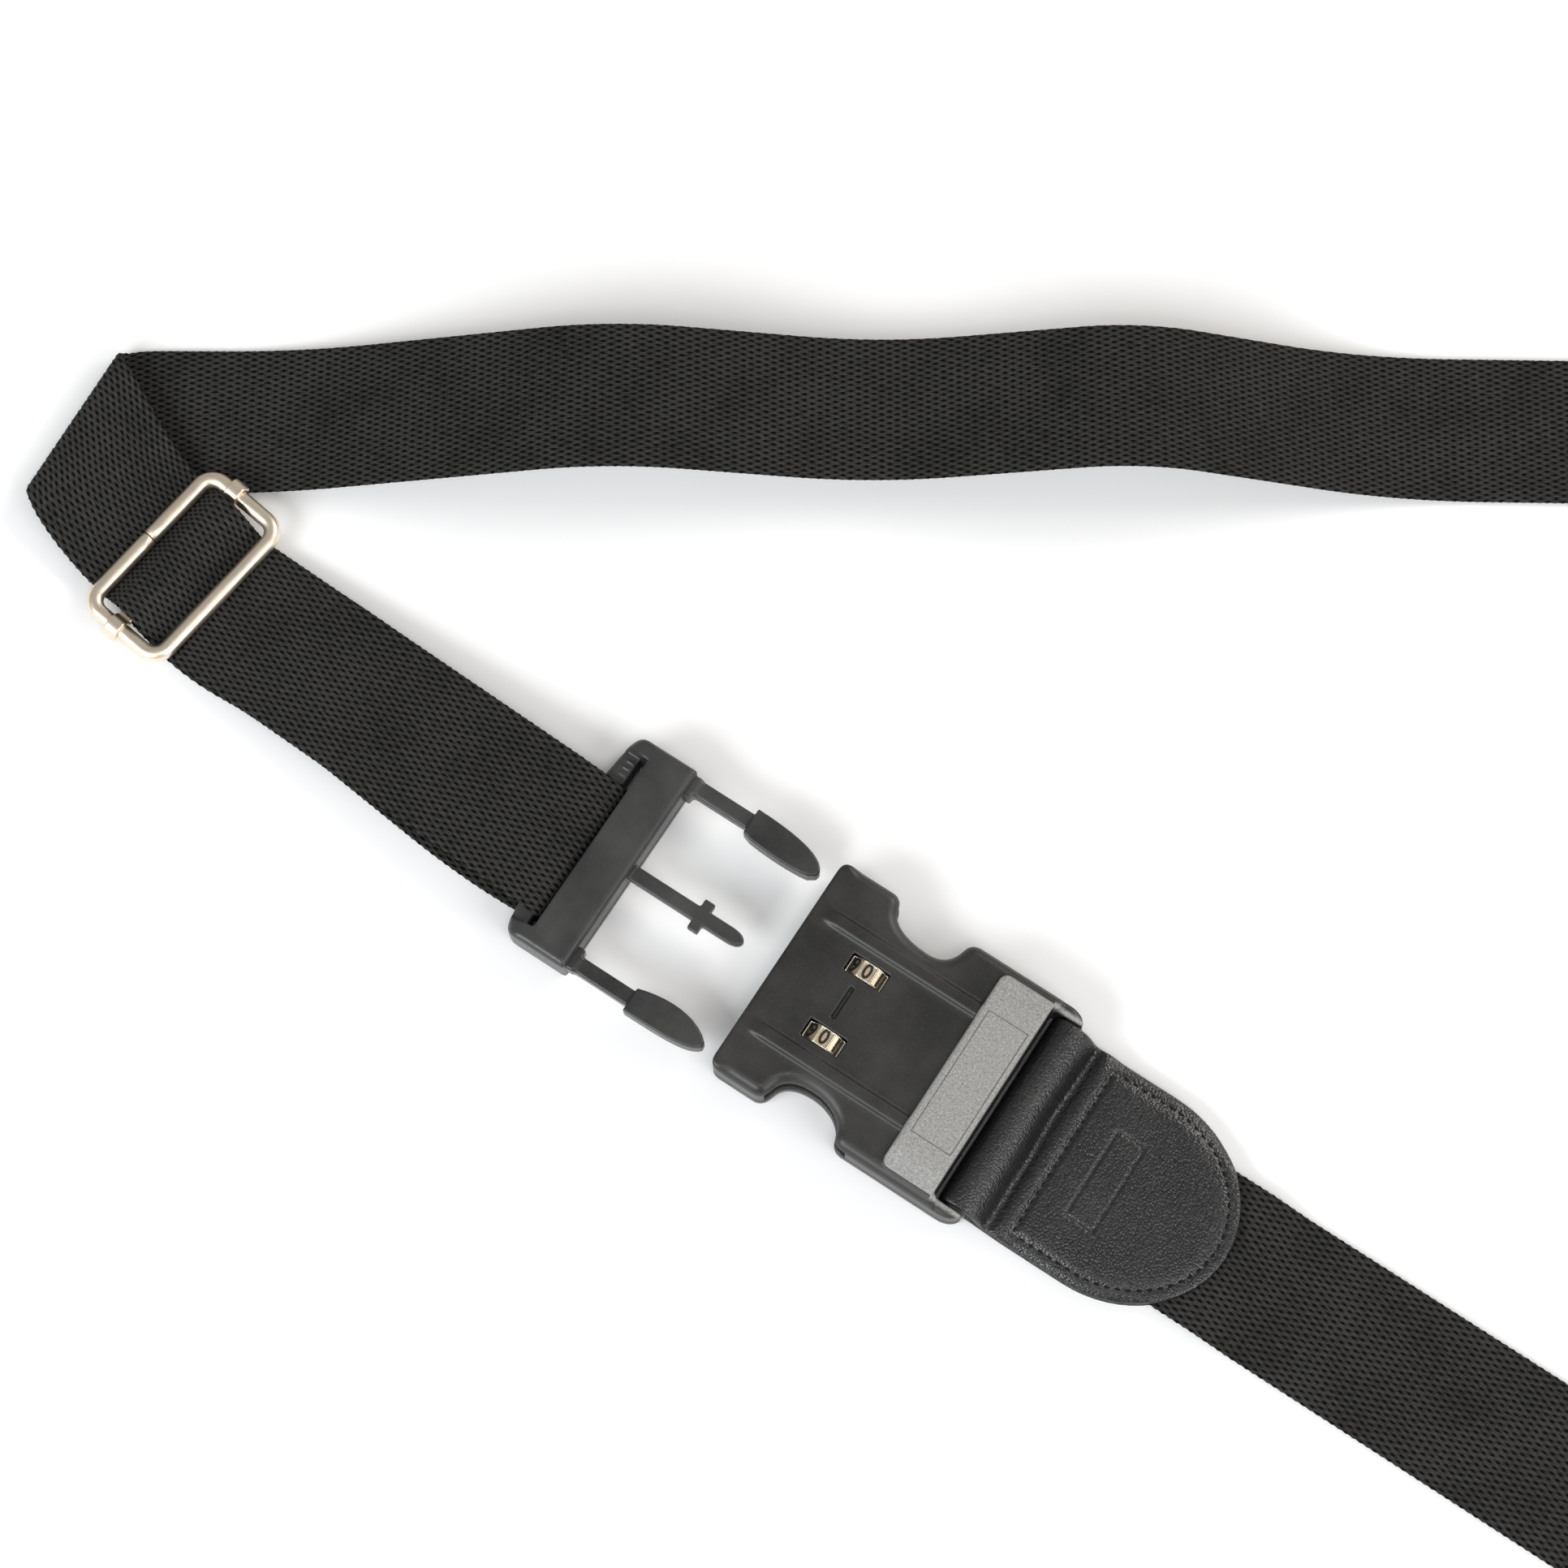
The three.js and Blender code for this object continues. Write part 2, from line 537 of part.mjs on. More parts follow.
// Cross lines of the strip: some in every bend, laid along its fold line.
function crossLines(route, from, to) {
  const lines = [];
  route.bends.forEach(({ at, angle, radius, skew }) => {
    if (radius >= WAVE_TURN_RADIUS) return;
    const steps = Math.max(2, Math.ceil(Math.abs(angle) / (radius > 30 ? 5 : 26)));
    for (let i = 0; i <= steps; i += 1) {
      const arc = (i / steps) * radians(Math.abs(angle)) * radius;
      lines.push({ s: at + arc / Math.cos(radians(skew)), skew });
    }
  });
  const inside = lines.filter(({ s }) => s > from.s + 0.2 && s < to.s - 0.2).sort((a, b) => a.s - b.s);
  return [from, ...inside, to];
}

// The strip between two cross lines as a closed solid.
function strip(route, from, to) {
  const half = WEB_THICK / 2;
  const corners = [[-WEB_HALF, -half], [WEB_HALF, -half], [WEB_HALF, half], [-WEB_HALF, half]];
  const lines = crossLines(route, from, to);
  const position = lines.flatMap(({ s, skew }) =>
    corners.flatMap(([t, w]) => stripPoint(route, s + t * Math.tan(radians(skew)), t, w).toArray()));
  const index = [0, 2, 1, 0, 3, 2];
  for (let row = 0; row < lines.length - 1; row += 1) {
    for (let side = 0; side < 4; side += 1) {
      const a = row * 4 + side;
      const b = row * 4 + ((side + 1) % 4);
      index.push(a, b, b + 4, a, b + 4, a + 4);
    }
  }
  const last = (lines.length - 1) * 4;
  index.push(last, last + 1, last + 2, last, last + 2, last + 3);
  const geometry = new THREE.BufferGeometry();
  geometry.setAttribute("position", new THREE.Float32BufferAttribute(position, 3));
  return solid(geometry.setIndex(index));
}

const line = (s, skew = 0) => ({ s, skew });

// Lengths of strap that stay in one piece; neighbours meet end to end with a small gap.
const STRAP_PIECES = [
  ["webbing_slider_pass", line(0.3, -8), line(64.4, -30)],
  ["webbing_upper_run", line(64.7, -30), line(455)],
  ["webbing_upper_corner", line(455.3), line(HANK - 180)],
  ["webbing_hank", line(HANK - 179.7), line(HANK + 3 * LAYER + 176)],
  ["webbing_lower_corner", line(HANK + 3 * LAYER + 176.3), line(LOWER_CORNER + 40)],
  ["webbing_lower_run", line(LOWER_CORNER + 40.3), line(1603.8)],
  ["webbing_tab_end", line(1604.1), line(1656)],
];
const LOOP_PIECES = [
  ["webbing_double_top", line(0), line(104)],
  ["webbing_plug_loop", line(104.3), line(126)],
  ["webbing_double_bottom", line(126.3), line(247.5, 2.6)],
  ["webbing_bar_end", line(247.8, 2.6), line(265.5, 2.6)],
];

// ---------- the leather tab ----------

// One strip of leather folded round the rear bar, drawn from the side.
function tabSection() {
  const shape = new THREE.Shape();
  const end = TAB_TIP_X + 1;
  const loop = BAR_LONG / 2 + 0.4;
  shape.moveTo(end, 0);
  shape.lineTo(end, LEATHER);
  shape.lineTo(61, LEATHER);
  shape.bezierCurveTo(56, LEATHER, 54, BAR_Z - loop, BAR_X, BAR_Z - loop);
  shape.absarc(BAR_X, BAR_Z, loop, Math.PI * 1.5, Math.PI / 2, true);
  shape.bezierCurveTo(54.2, BAR_Z + loop, 54.5, TAB_HIGH - LEATHER, 61, TAB_HIGH - LEATHER);
  shape.lineTo(end, TAB_HIGH - LEATHER);
  shape.lineTo(end, TAB_HIGH);
  shape.lineTo(62, TAB_HIGH);
  shape.bezierCurveTo(56, TAB_HIGH, 56.5, BAR_Z + loop + LEATHER, BAR_X, BAR_Z + loop + LEATHER);
  shape.absarc(BAR_X, BAR_Z, loop + LEATHER, Math.PI / 2, Math.PI * 1.5, false);
  shape.bezierCurveTo(55, BAR_Z - loop - LEATHER, 56, 0, 61, 0);
  return shape;
}

// Seen from above: straight sides and a round end.
function tabPlan() {
  const shape = new THREE.Shape();
  shape.moveTo(40, -TAB_HALF);
  shape.lineTo(TAB_STRAIGHT_X, -TAB_HALF);
  shape.absellipse(TAB_STRAIGHT_X, 0, TAB_TIP_X - TAB_STRAIGHT_X, TAB_HALF, -Math.PI / 2, Math.PI / 2);
  shape.lineTo(40, TAB_HALF);
  return shape;
}

function leatherTab() {
  const folded = crossPrism(tabSection(), -TAB_HALF - 1, TAB_HALF + 1, 7);
  return folded.intersect(prism(tabPlan(), -1, 20, 0, 12));
}

// ---------- putting it together ----------

addMesh(group, "top_shell", topShell(), "plastic");
addMesh(group, "bottom_shell", bottomShell(), "plastic");
SCREWS.forEach(([x, y], i) => addMesh(group, `shell_screw_${i + 1}`, shellScrew(x, y), "steel"));
SIDES.forEach((side, i) => {
  addMesh(group, `dial_wheel_${i + 1}`, dialWheel(side), "nickel");
  addMesh(group, `lock_cam_${i + 1}`, lockCam(side), "brass");
  addMesh(group, `dial_axle_${i + 1}`, dialAxle(side), "steel");
  addMesh(group, `clutch_spring_${i + 1}`, clutchSpring(side), "steel");
  addMesh(group, `detent_spring_${i + 1}`, detentSpring(side), "steel");
});

addMesh(group, "plug_body", join(plugFrame(), centreProng()), "plastic");
addMesh(group, "prong_left", sideProng(1), "plastic");
addMesh(group, "prong_right", sideProng(-1), "plastic");

const slider = new THREE.Group();
slider.position.set(SLIDER.x, SLIDER.y, SLIDER.z);
slider.rotation.z = radians(SLIDER.turn);
group.add(slider);
addMesh(slider, "slider_frame", sliderFrame(), "gold");
addMesh(slider, "slider_bar", sliderBar(), "gold");

STRAP_PIECES.forEach(([name, from, to]) => addMesh(group, name, strip(STRAP, from, to), "webbing"));
LOOP_PIECES.forEach(([name, from, to]) => addMesh(group, name, strip(LOOP, from, to), "webbing"));
addMesh(group, "leather_tab", leatherTab(), "leather");

export default group;
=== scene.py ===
"""A luggage strap: woven webbing, a two-dial lock buckle, a wire slider and a leather tab.

Lengths in the modelling functions are millimetres in the CAD row frame (x along the buckle from plug to
socket, y across it, z up from the table) and turn into metres when a mesh is made.
"""
import math

import bmesh
import bpy
import numpy as np
from mathutils import Matrix, Vector


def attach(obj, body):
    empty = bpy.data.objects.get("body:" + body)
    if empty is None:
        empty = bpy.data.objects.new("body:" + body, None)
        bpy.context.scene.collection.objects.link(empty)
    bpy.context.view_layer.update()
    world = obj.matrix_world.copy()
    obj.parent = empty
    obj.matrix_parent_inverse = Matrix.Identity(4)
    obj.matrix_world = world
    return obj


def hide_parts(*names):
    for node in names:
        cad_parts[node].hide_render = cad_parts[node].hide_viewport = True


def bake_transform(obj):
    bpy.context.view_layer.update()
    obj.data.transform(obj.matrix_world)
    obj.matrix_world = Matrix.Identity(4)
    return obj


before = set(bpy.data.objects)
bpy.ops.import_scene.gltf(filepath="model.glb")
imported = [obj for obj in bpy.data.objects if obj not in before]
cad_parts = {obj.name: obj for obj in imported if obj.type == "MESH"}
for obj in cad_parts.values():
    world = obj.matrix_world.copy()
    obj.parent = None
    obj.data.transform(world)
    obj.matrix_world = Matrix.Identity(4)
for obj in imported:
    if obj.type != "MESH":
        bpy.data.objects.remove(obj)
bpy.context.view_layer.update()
MM = 0.001

# Camera, measured against the table plane.
VIEW_AZIMUTH = 33.2
VIEW_ELEVATION = 75.0
VIEW_DISTANCE = 858.0
VIEW_ANGLE = 26.0
VIEW_CENTRE = (-45.14, 41.59, 0.0)
WORLD_LIGHT = 0.34

# Webbing: half width as laid, and the pitch of its warp yarns across it and weft rows along it.
WEB_HALF = 19.5
WARP_PITCH = 0.8125
WEFT_PITCH = 2.0

# The woven surface over the strip's middle layer: its mean height, its swell, the share of its height kept
# at the rim, and how far the selvage waves in and out.
WEAVE_HEIGHT = 0.58
WEAVE_SWELL = 0.16
RIM_SHARE = 0.72
SELVAGE_SWELL = 0.28

# A sharp fold draws the strap's edges in by this share of the half width, over this length.
PINCH_SHARE = 0.045
PINCH_REACH = 4.5

# The dials, as in the CAD design.
DIAL_Z = 8.0
DIAL_Y = 9.7
DIAL_RADIUS = 6.4
DIAL_WIDTH = 4.7
DIAL_SIDES = 10

# The socket, as in the CAD design: its plan, its levels and its release notches (start, deepest, end).
SOCKET_FRONT = -20
SOCKET_REAR = 52
SOCKET_HALF = 30.5
DECK = 13.9
BRIDGE_TOP = 16.5
RIB_MIDDLE = 16.5
RIB_RISE = 1.15
SCREW_PLACES = ((-14, 15.2), (-14, -15.2), (34, 20), (34, -20))
LEFT_NOTCH = (-2.6, 9.8, 17.4)
RIGHT_NOTCH = (-4.2, 5.2, 15.8)
NOTCH_FLOOR = 22.2
CHANNEL_ROOF = 11.3
DIAL_POCKET = (6.95, 12.5)
CAM_POCKET = (2.3, 7)

# The slider's middle and its turn on the table.
SLIDER_AT = (-204.0, 4.6, 5.6)
SLIDER_TURN = -7.4


# ---------- camera, floor and light ----------

def make_camera():
    a = math.radians(VIEW_AZIMUTH)
    e = math.radians(VIEW_ELEVATION)
    back = Vector((math.sin(a) * math.cos(e), -math.cos(a) * math.cos(e), math.sin(e)))
    data = bpy.data.cameras.new("camera")
    data.angle = math.radians(VIEW_ANGLE)
    data.clip_start = 0.01
    camera = bpy.data.objects.new("camera", data)
    camera.rotation_mode = "QUATERNION"
    camera.location = Vector(VIEW_CENTRE) * MM + back * VIEW_DISTANCE * MM
    camera.rotation_quaternion = (-back).to_track_quat("-Z", "Y")
    bpy.context.scene.collection.objects.link(camera)
    bpy.context.scene.camera = camera


def add_area(name, place, aim, size, watts, colour=(1, 1, 1)):
    data = bpy.data.lights.new(name, "AREA")
    data.shape = "RECTANGLE"
    data.size, data.size_y = size
    data.energy = watts
    data.color = colour
    light = bpy.data.objects.new(name, data)
    light.location = Vector(place)
    light.rotation_mode = "QUATERNION"
    light.rotation_quaternion = (Vector(aim) - Vector(place)).to_track_quat("-Z", "Y")
    bpy.context.scene.collection.objects.link(light)


def make_lights():
    aim = (0.0, 0.03, 0.0)
    add_area("key", (-0.35, -0.85, 0.65), aim, (0.8, 0.5), 10.0, (0.95, 0.98, 1.0))
    add_area("warm", (0.45, 0.95, 0.7), aim, (0.8, 0.5), 7.5, (1.0, 0.95, 0.89))
    add_area("side", (0.95, -0.15, 0.6), aim, (0.6, 0.8), 5.5)
    add_area("top", (0.2, -0.22, 0.9), aim, (0.22, 0.22), 1.2)
    world = bpy.data.worlds.new("studio")
    world.use_nodes = True
    world.node_tree.nodes["Background"].inputs["Color"].default_value = (1, 1, 1, 1)
    world.node_tree.nodes["Background"].inputs["Strength"].default_value = WORLD_LIGHT
    bpy.context.scene.world = world
    bpy.context.scene.view_settings.view_transform = "Standard"


def make_floor():
    side = 4.0
    mesh = bpy.data.meshes.new("floor")
    corners = [(-side, -side, 0), (side, -side, 0), (side, side, 0), (-side, side, 0)]
    mesh.from_pydata(corners, [], [(0, 1, 2, 3)])
    floor = bpy.data.objects.new("floor", mesh)
    floor.location.z = -0.0002
    floor.data.materials.append(Graph("floor_paper").finish((0.95, 0.95, 0.95), 0.9))
    bpy.context.scene.collection.objects.link(floor)


# ---------- materials ----------

def opaque(colour):
    """A colour tuple with full opacity; a socket stays as it is."""
    return (*colour, 1) if isinstance(colour, tuple) else colour


class Graph:
    """Short calls that add shader nodes to one material and link them."""

    def __init__(self, name):
        self.material = bpy.data.materials.new(name)
        self.material.use_nodes = True
        self.nodes = self.material.node_tree.nodes
        self.links = self.material.node_tree.links
        self.shader = self.nodes["Principled BSDF"]

    def put(self, socket, value):
        if isinstance(value, bpy.types.NodeSocket):
            self.links.new(value, socket)
        else:
            socket.default_value = value

    def place(self, kind="Object"):
        return self.nodes.new("ShaderNodeTexCoord").outputs[kind]

    def math(self, operation, a, b=0.0, c=0.0):
        node = self.nodes.new("ShaderNodeMath")
        node.operation = operation
        for socket, value in zip(node.inputs, (a, b, c)):
            self.put(socket, value)
        return node.outputs[0]

    def axes(self, vector):
        node = self.nodes.new("ShaderNodeSeparateXYZ")
        self.put(node.inputs[0], vector)
        return node.outputs

    def noise(self, vector, scale, detail=3.0, roughness=0.55, distortion=0.0):
        node = self.nodes.new("ShaderNodeTexNoise")
        self.put(node.inputs["Vector"], vector)
        node.inputs["Scale"].default_value = scale
        node.inputs["Detail"].default_value = detail
        node.inputs["Roughness"].default_value = roughness
        node.inputs["Distortion"].default_value = distortion
        return node.outputs["Fac"]

    def cells(self, vector, scale):
        node = self.nodes.new("ShaderNodeTexVoronoi")
        self.put(node.inputs["Vector"], vector)
        node.inputs["Scale"].default_value = scale
        return node.outputs["Distance"]

    def stretch(self, vector, factors):
        node = self.nodes.new("ShaderNodeVectorMath")
        node.operation = "MULTIPLY"
        self.put(node.inputs[0], vector)
        node.inputs[1].default_value = factors
        return node.outputs[0]

    def span(self, value, low, high, to_low=0.0, to_high=1.0):
        node = self.nodes.new("ShaderNodeMapRange")
        for socket, number in zip(node.inputs, (value, low, high, to_low, to_high)):
            self.put(socket, number)
        return node.outputs[0]

    def blend(self, factor, first, second):
        node = self.nodes.new("ShaderNodeMix")
        node.data_type = "RGBA"
        self.put(node.inputs["Factor"], factor)
        self.put(node.inputs["A"], opaque(first))
        self.put(node.inputs["B"], opaque(second))
        return node.outputs["Result"]

    def bump(self, height, strength, distance, under=None):
        node = self.nodes.new("ShaderNodeBump")
        self.put(node.inputs["Height"], height)
        node.inputs["Strength"].default_value = strength
        node.inputs["Distance"].default_value = distance
        if under is not None:
            self.put(node.inputs["Normal"], under)
        return node.outputs[0]

    def finish(self, colour, roughness, normal=None, metallic=0.0, **sockets):
        self.put(self.shader.inputs["Base Color"], opaque(colour))
        self.put(self.shader.inputs["Roughness"], roughness)
        self.put(self.shader.inputs["Metallic"], metallic)
        if normal is not None:
            self.put(self.shader.inputs["Normal"], normal)
        for name, value in sockets.items():
            self.shader.inputs[name.replace("_", " ")].default_value = value
        return self.material


def webbing_material():
    """Plain weave: u counts warp yarns across the strap and v weft rows along it. Every other crossing
    shows a warp float, the ones between are pits; painted shade darkens the pits and a faint furrow between
    the rows."""
    g = Graph("webbing_weave")
    uv = g.place("UV")
    u, v, _ = g.axes(uv)
    wander = g.span(g.noise(g.stretch(uv, (0.35, 0.35, 1.0)), 1.0, 2.0), 0.0, 1.0, -0.35, 0.35)
    across = g.math("COSINE", g.math("MULTIPLY", g.math("ADD", u, wander), math.pi))
    along = g.math("COSINE", g.math("MULTIPLY", v, math.pi))
    checks = g.math("MULTIPLY", across, g.math("MULTIPLY", along, g.math("ABSOLUTE", along)))
    strands = g.noise(g.stretch(uv, (3.4, 0.8, 1.0)), 1.0, 3.0, 0.65, 0.4)
    fibres = g.noise(g.stretch(uv, (9.0, 1.4, 1.0)), 1.0, 2.0)
    patches = g.noise(g.place(), 60.0, 4.0)
    # raised is 1 on the floats and 0 in the pits; the colour uses it to paint shade into the pits.
    raised = g.span(checks, -0.5, 0.1)
    tone_with_pit_shade = g.math("MULTIPLY", raised, g.span(strands, 0.3, 0.7, 0.2, 1.7))
    tone_with_pit_shade = g.math("MULTIPLY", tone_with_pit_shade, g.span(patches, 0.3, 0.7, 0.7, 1.25))
    # Painted shade: the colour darkens along the furrow between the weft rows.
    tone_with_pit_shade = g.math("MULTIPLY", tone_with_pit_shade, g.span(g.math("ABSOLUTE", along), 0.0, 0.5, 0.6, 1.0))
    # Painted shade: near black in the pits, a lighter dark grey on the floats.
    colour = g.blend(tone_with_pit_shade, (0.0005, 0.0005, 0.0006), (0.060, 0.058, 0.054))
    height = g.math("ADD", raised, g.math("MULTIPLY", g.math("ADD", strands, fibres), 0.6))
    normal = g.bump(height, 1.0, 0.0008)
    rough = g.math("SUBTRACT", g.span(fibres, 0.2, 0.8, 0.75, 1.0), g.math("MULTIPLY", raised, 0.25))
    return g.finish(colour, rough, normal, Specular_IOR_Level=0.15)


def plastic_material(name, colour, grain, rough, cloudy):
    g = Graph(name)
    where = g.place()
    clouds = g.noise(where, 55.0, 4.0)
    fine = g.noise(where, grain, 2.0)
    specks = g.noise(where, 2400.0, 1.0)
    tint = g.math("ADD", g.span(clouds, 0.3, 0.7, 0.0, cloudy), g.span(specks, 0.55, 0.8, 0.0, 0.35))
    lighter = tuple(c * 2.6 for c in colour)
    mixed = g.blend(tint, colour, lighter)
    cloudy_rough = g.span(clouds, 0.3, 0.7, rough - 0.05, rough + 0.07)
    roughness = g.math("ADD", cloudy_rough, g.span(fine, 0.3, 0.7, -0.04, 0.04))
    normal = g.bump(fine, 0.35, 0.00008, g.bump(clouds, 0.15, 0.0004))
    return g.finish(mixed, roughness, normal)


def shell_material():
    """The socket's plastic: a fine grain, and on the bridge a coarser lighter grain and a scribed frame."""
    frame_x, frame_half_x, frame_half_y, scribe_width = 0.0358, 0.0056, 0.0176, 0.00022
    g = Graph("socket_plastic")
    where = g.place()
    x, y, z = g.axes(where)
    across = g.math("ABSOLUTE", y)
    raised = g.math("MULTIPLY", g.math("LESS_THAN", x, 0.0433), g.span(z, 0.0141, 0.0146))
    beside_slot = g.math("MULTIPLY", g.span(across, 0.0266, 0.0276), g.span(z, 0.0095, 0.0115))
    beside_slot = g.math("MULTIPLY", g.math("GREATER_THAN", x, 0.0425), beside_slot)
    inboard = g.span(across, 0.0283, 0.0292, 1.0, 0.0)
    on_bridge = g.math("MULTIPLY", g.math("MAXIMUM", raised, beside_slot), inboard)
    on_bridge = g.math("MULTIPLY", on_bridge, g.math("GREATER_THAN", x, 0.0281))
    clouds = g.noise(where, 60.0, 4.0)
    fine = g.noise(where, 1500.0, 3.0)
    coarse = g.noise(where, 1900.0, 2.0, 0.7)
    specks = g.span(g.noise(where, 2600.0, 1.0), 0.55, 0.8, 0.0, 0.4)
    worn = g.span(clouds, 0.35, 0.75, 0.0, 0.35)
    shell = g.blend(g.math("ADD", specks, worn), (0.0125, 0.012, 0.011), (0.062, 0.059, 0.054))
    bridge = g.blend(g.span(coarse, 0.3, 0.7), (0.17, 0.168, 0.162), (0.36, 0.355, 0.34))
    dx = g.math("SUBTRACT", frame_half_x, g.math("ABSOLUTE", g.math("SUBTRACT", x, frame_x)))
    dy = g.math("SUBTRACT", frame_half_y, across)
    edge = g.math("ABSOLUTE", g.math("MINIMUM", dx, dy))
    scribed = g.math("MULTIPLY", g.span(edge, 0.0, scribe_width, 1.0, 0.0), on_bridge)
    plain = g.blend(on_bridge, shell, bridge)
    colour = g.blend(g.math("MULTIPLY", scribed, 0.75), plain, (0.01, 0.01, 0.01))
    bridge_grain = g.math("MULTIPLY", g.math("MULTIPLY", coarse, on_bridge), 1.4)
    height = g.math("ADD", g.math("MULTIPLY", fine, 0.5), bridge_grain)
    normal = g.bump(height, 0.4, 0.0001, g.bump(g.math("SUBTRACT", 1.0, scribed), 0.6, 0.0002))
    rough = g.math("ADD", g.span(clouds, 0.3, 0.7, 0.36, 0.46), g.math("MULTIPLY", on_bridge, 0.1))
    return g.finish(colour, rough, normal)


def leather_material():
    g = Graph("tab_leather")
    where = g.place()
    pebbles = g.cells(where, 1500.0)
    creases = g.noise(g.stretch(where, (1.0, 2.2, 1.0)), 620.0, 4.0, 0.6, 0.6)
    clouds = g.noise(where, 45.0, 3.0)
    worn = g.math("MULTIPLY", g.span(clouds, 0.35, 0.7), g.span(creases, 0.35, 0.65))
    colour = g.blend(worn, (0.0055, 0.0055, 0.0057), (0.013, 0.0128, 0.0122))
    height = g.math("ADD", g.math("MULTIPLY", pebbles, -1.0), g.math("MULTIPLY", creases, 0.35))
    normal = g.bump(height, 0.75, 0.0002, g.bump(clouds, 0.2, 0.001))
    rough = g.math("ADD", g.span(creases, 0.3, 0.7, 0.25, 0.35), g.span(clouds, 0.3, 0.7, -0.03, 0.05))
    return g.finish(colour, rough, normal, Specular_IOR_Level=0.65)


def metal_material(name, colour, shade, rough, grain=700.0, strength=0.08):
    g = Graph(name)
    where = g.place()
    clouds = g.noise(where, 120.0, 3.0)
    fine = g.noise(where, grain, 3.0)
    mixed = g.blend(g.span(clouds, 0.35, 0.7), colour, shade)
    cloudy_rough = g.span(clouds, 0.3, 0.7, rough - 0.04, rough + 0.06)
    roughness = g.math("ADD", cloudy_rough, g.span(fine, 0.3, 0.7, -0.02, 0.03))
    return g.finish(mixed, roughness, g.bump(fine, strength, 0.00006), 1.0)


def thread_material():
    g = Graph("black_thread")
    twist = g.noise(g.place(), 2600.0, 2.0)
    colour = g.blend(twist, (0.001, 0.001, 0.001), (0.006, 0.006, 0.006))
    normal = g.bump(twist, 0.5, 0.0001)
    return g.finish(colour, g.span(twist, 0.2, 0.8, 0.6, 0.8), normal, Specular_IOR_Level=0.2)


def paint_material():
    g = Graph("figure_paint")
    wear = g.noise(g.place(), 900.0, 3.0)
    colour = g.blend(g.span(wear, 0.6, 0.8), (0.004, 0.004, 0.004), (0.03, 0.022, 0.014))
    return g.finish(colour, g.span(wear, 0.2, 0.8, 0.45, 0.65), g.bump(wear, 0.3, 0.00005))


# ---------- meshes ----------

def add_piece(name, vertices, faces, material, body=None):
    """A mesh object from millimetres in the row frame, riding on a body unless body is None."""
    mesh = bpy.data.meshes.new(name)
    mesh.from_pydata((np.asarray(vertices) * MM).tolist(), [], [tuple(f) for f in faces])
    mesh.polygons.foreach_set("use_smooth", [True] * len(mesh.polygons))
    mesh.materials.append(material)
    mesh.update()
    piece = bpy.data.objects.new(name, mesh)
    bpy.context.scene.collection.objects.link(piece)
    if body:
        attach(piece, body)
    return piece


# ---------- the webbing ----------

# The strap's route, as in the CAD design: where each bend begins along the strip, its angle, its radius
# and the skew of its fold line in degrees. A turn swings the strip in its own plane.

def bend(at, angle, radius, skew=0.0):
    return {"at": at, "angle": angle, "radius": radius, "skew": skew, "flat": False}


def turn(at, angle, radius):
    return {"at": at, "angle": angle, "radius": radius, "skew": 0.0, "flat": True}


CORNER = 493.4
HANK = CORNER + 225
LAYER = 173
LOWER_CORNER = 1473.8
TAB_RISE = LOWER_CORNER + 120
FOLD = 0.95

STRAP = {
    "start": (-191.9, 2.4, 2.85),
    "heading": 169.5,
    "bends": [
        bend(3.53, 45, 3, -3.1), bend(11.99, -45, 3.45, -3.1),
        bend(17.5, -45, 3.45, -3.1), bend(26.31, 45, 3, -3.1),
        turn(30, -16.5, 85), bend(32, 10, 20), bend(49.83, -10, 20),
        bend(64.69, -180, 2.6, -30),
        bend(105, -14.2, 150, -10), turn(147, -0.35, 39000), bend(193, 24.3, 90),
        bend(260, -21.3, 110, -4), bend(333, 30, 60), bend(393.2, -19.472, 130, 12.089),
        bend(CORNER, -180, FOLD, 43.72), bend(CORNER + 28, -8, 20), bend(CORNER + 41.3, 8, 20),
        bend(HANK, 180, FOLD), bend(HANK + LAYER, -180, FOLD),
        bend(HANK + 2 * LAYER, 180, FOLD), bend(HANK + 3 * LAYER, -180, FOLD),
        bend(HANK + 3 * LAYER + 178, -20, 12), bend(HANK + 3 * LAYER + 194.59, 20, 12),
        bend(LOWER_CORNER, -180, FOLD, -30.1),
        bend(TAB_RISE, -10, 14), bend(TAB_RISE + 10.64, 10, 14),
    ],
}
LOOP = {
    "start": (-191.9, 2.4, 2.85),
    "heading": -2.5,
    "bends": [
        bend(3, 4.25, 40), bend(100, -4.25, 40),
        bend(113.55, -90, 2.55, -2.5), bend(121.155, -90, 2.55, -2.5),
        turn(126, 8.5, 236), bend(131, 2.5, 20), bend(144.5, -2.5, 20),
        turn(186, -9.5, 241), turn(225, 13.5, 64),
        bend(241.4, -25, 6, 2.6), bend(248.7, 25, 6, 2.6), bend(254.5, -180, 1.75, 2.6),
        bend(262.8, -45, 1.75, 2.6),
    ],
}

# Where the pieces of webbing begin and end along the two routes, and the hairline between them.
MAIN_START = 0.4
HANK_START = HANK - 30
TAIL_START = LOWER_CORNER - 34
TAB_END = 1656.0
LOOP_START = 0.2
LOOP_CUT = 248.0
LOOP_END = 265.4
HAIRLINE = 0.1


def turned(points, axis, angles):
    """points turned about a unit axis through the origin, each by its own angle."""
    cos = np.cos(angles)[:, None]
    sin = np.sin(angles)[:, None]
    return points * cos + np.cross(axis, points) * sin + np.outer(points @ axis, axis) * (1 - cos)


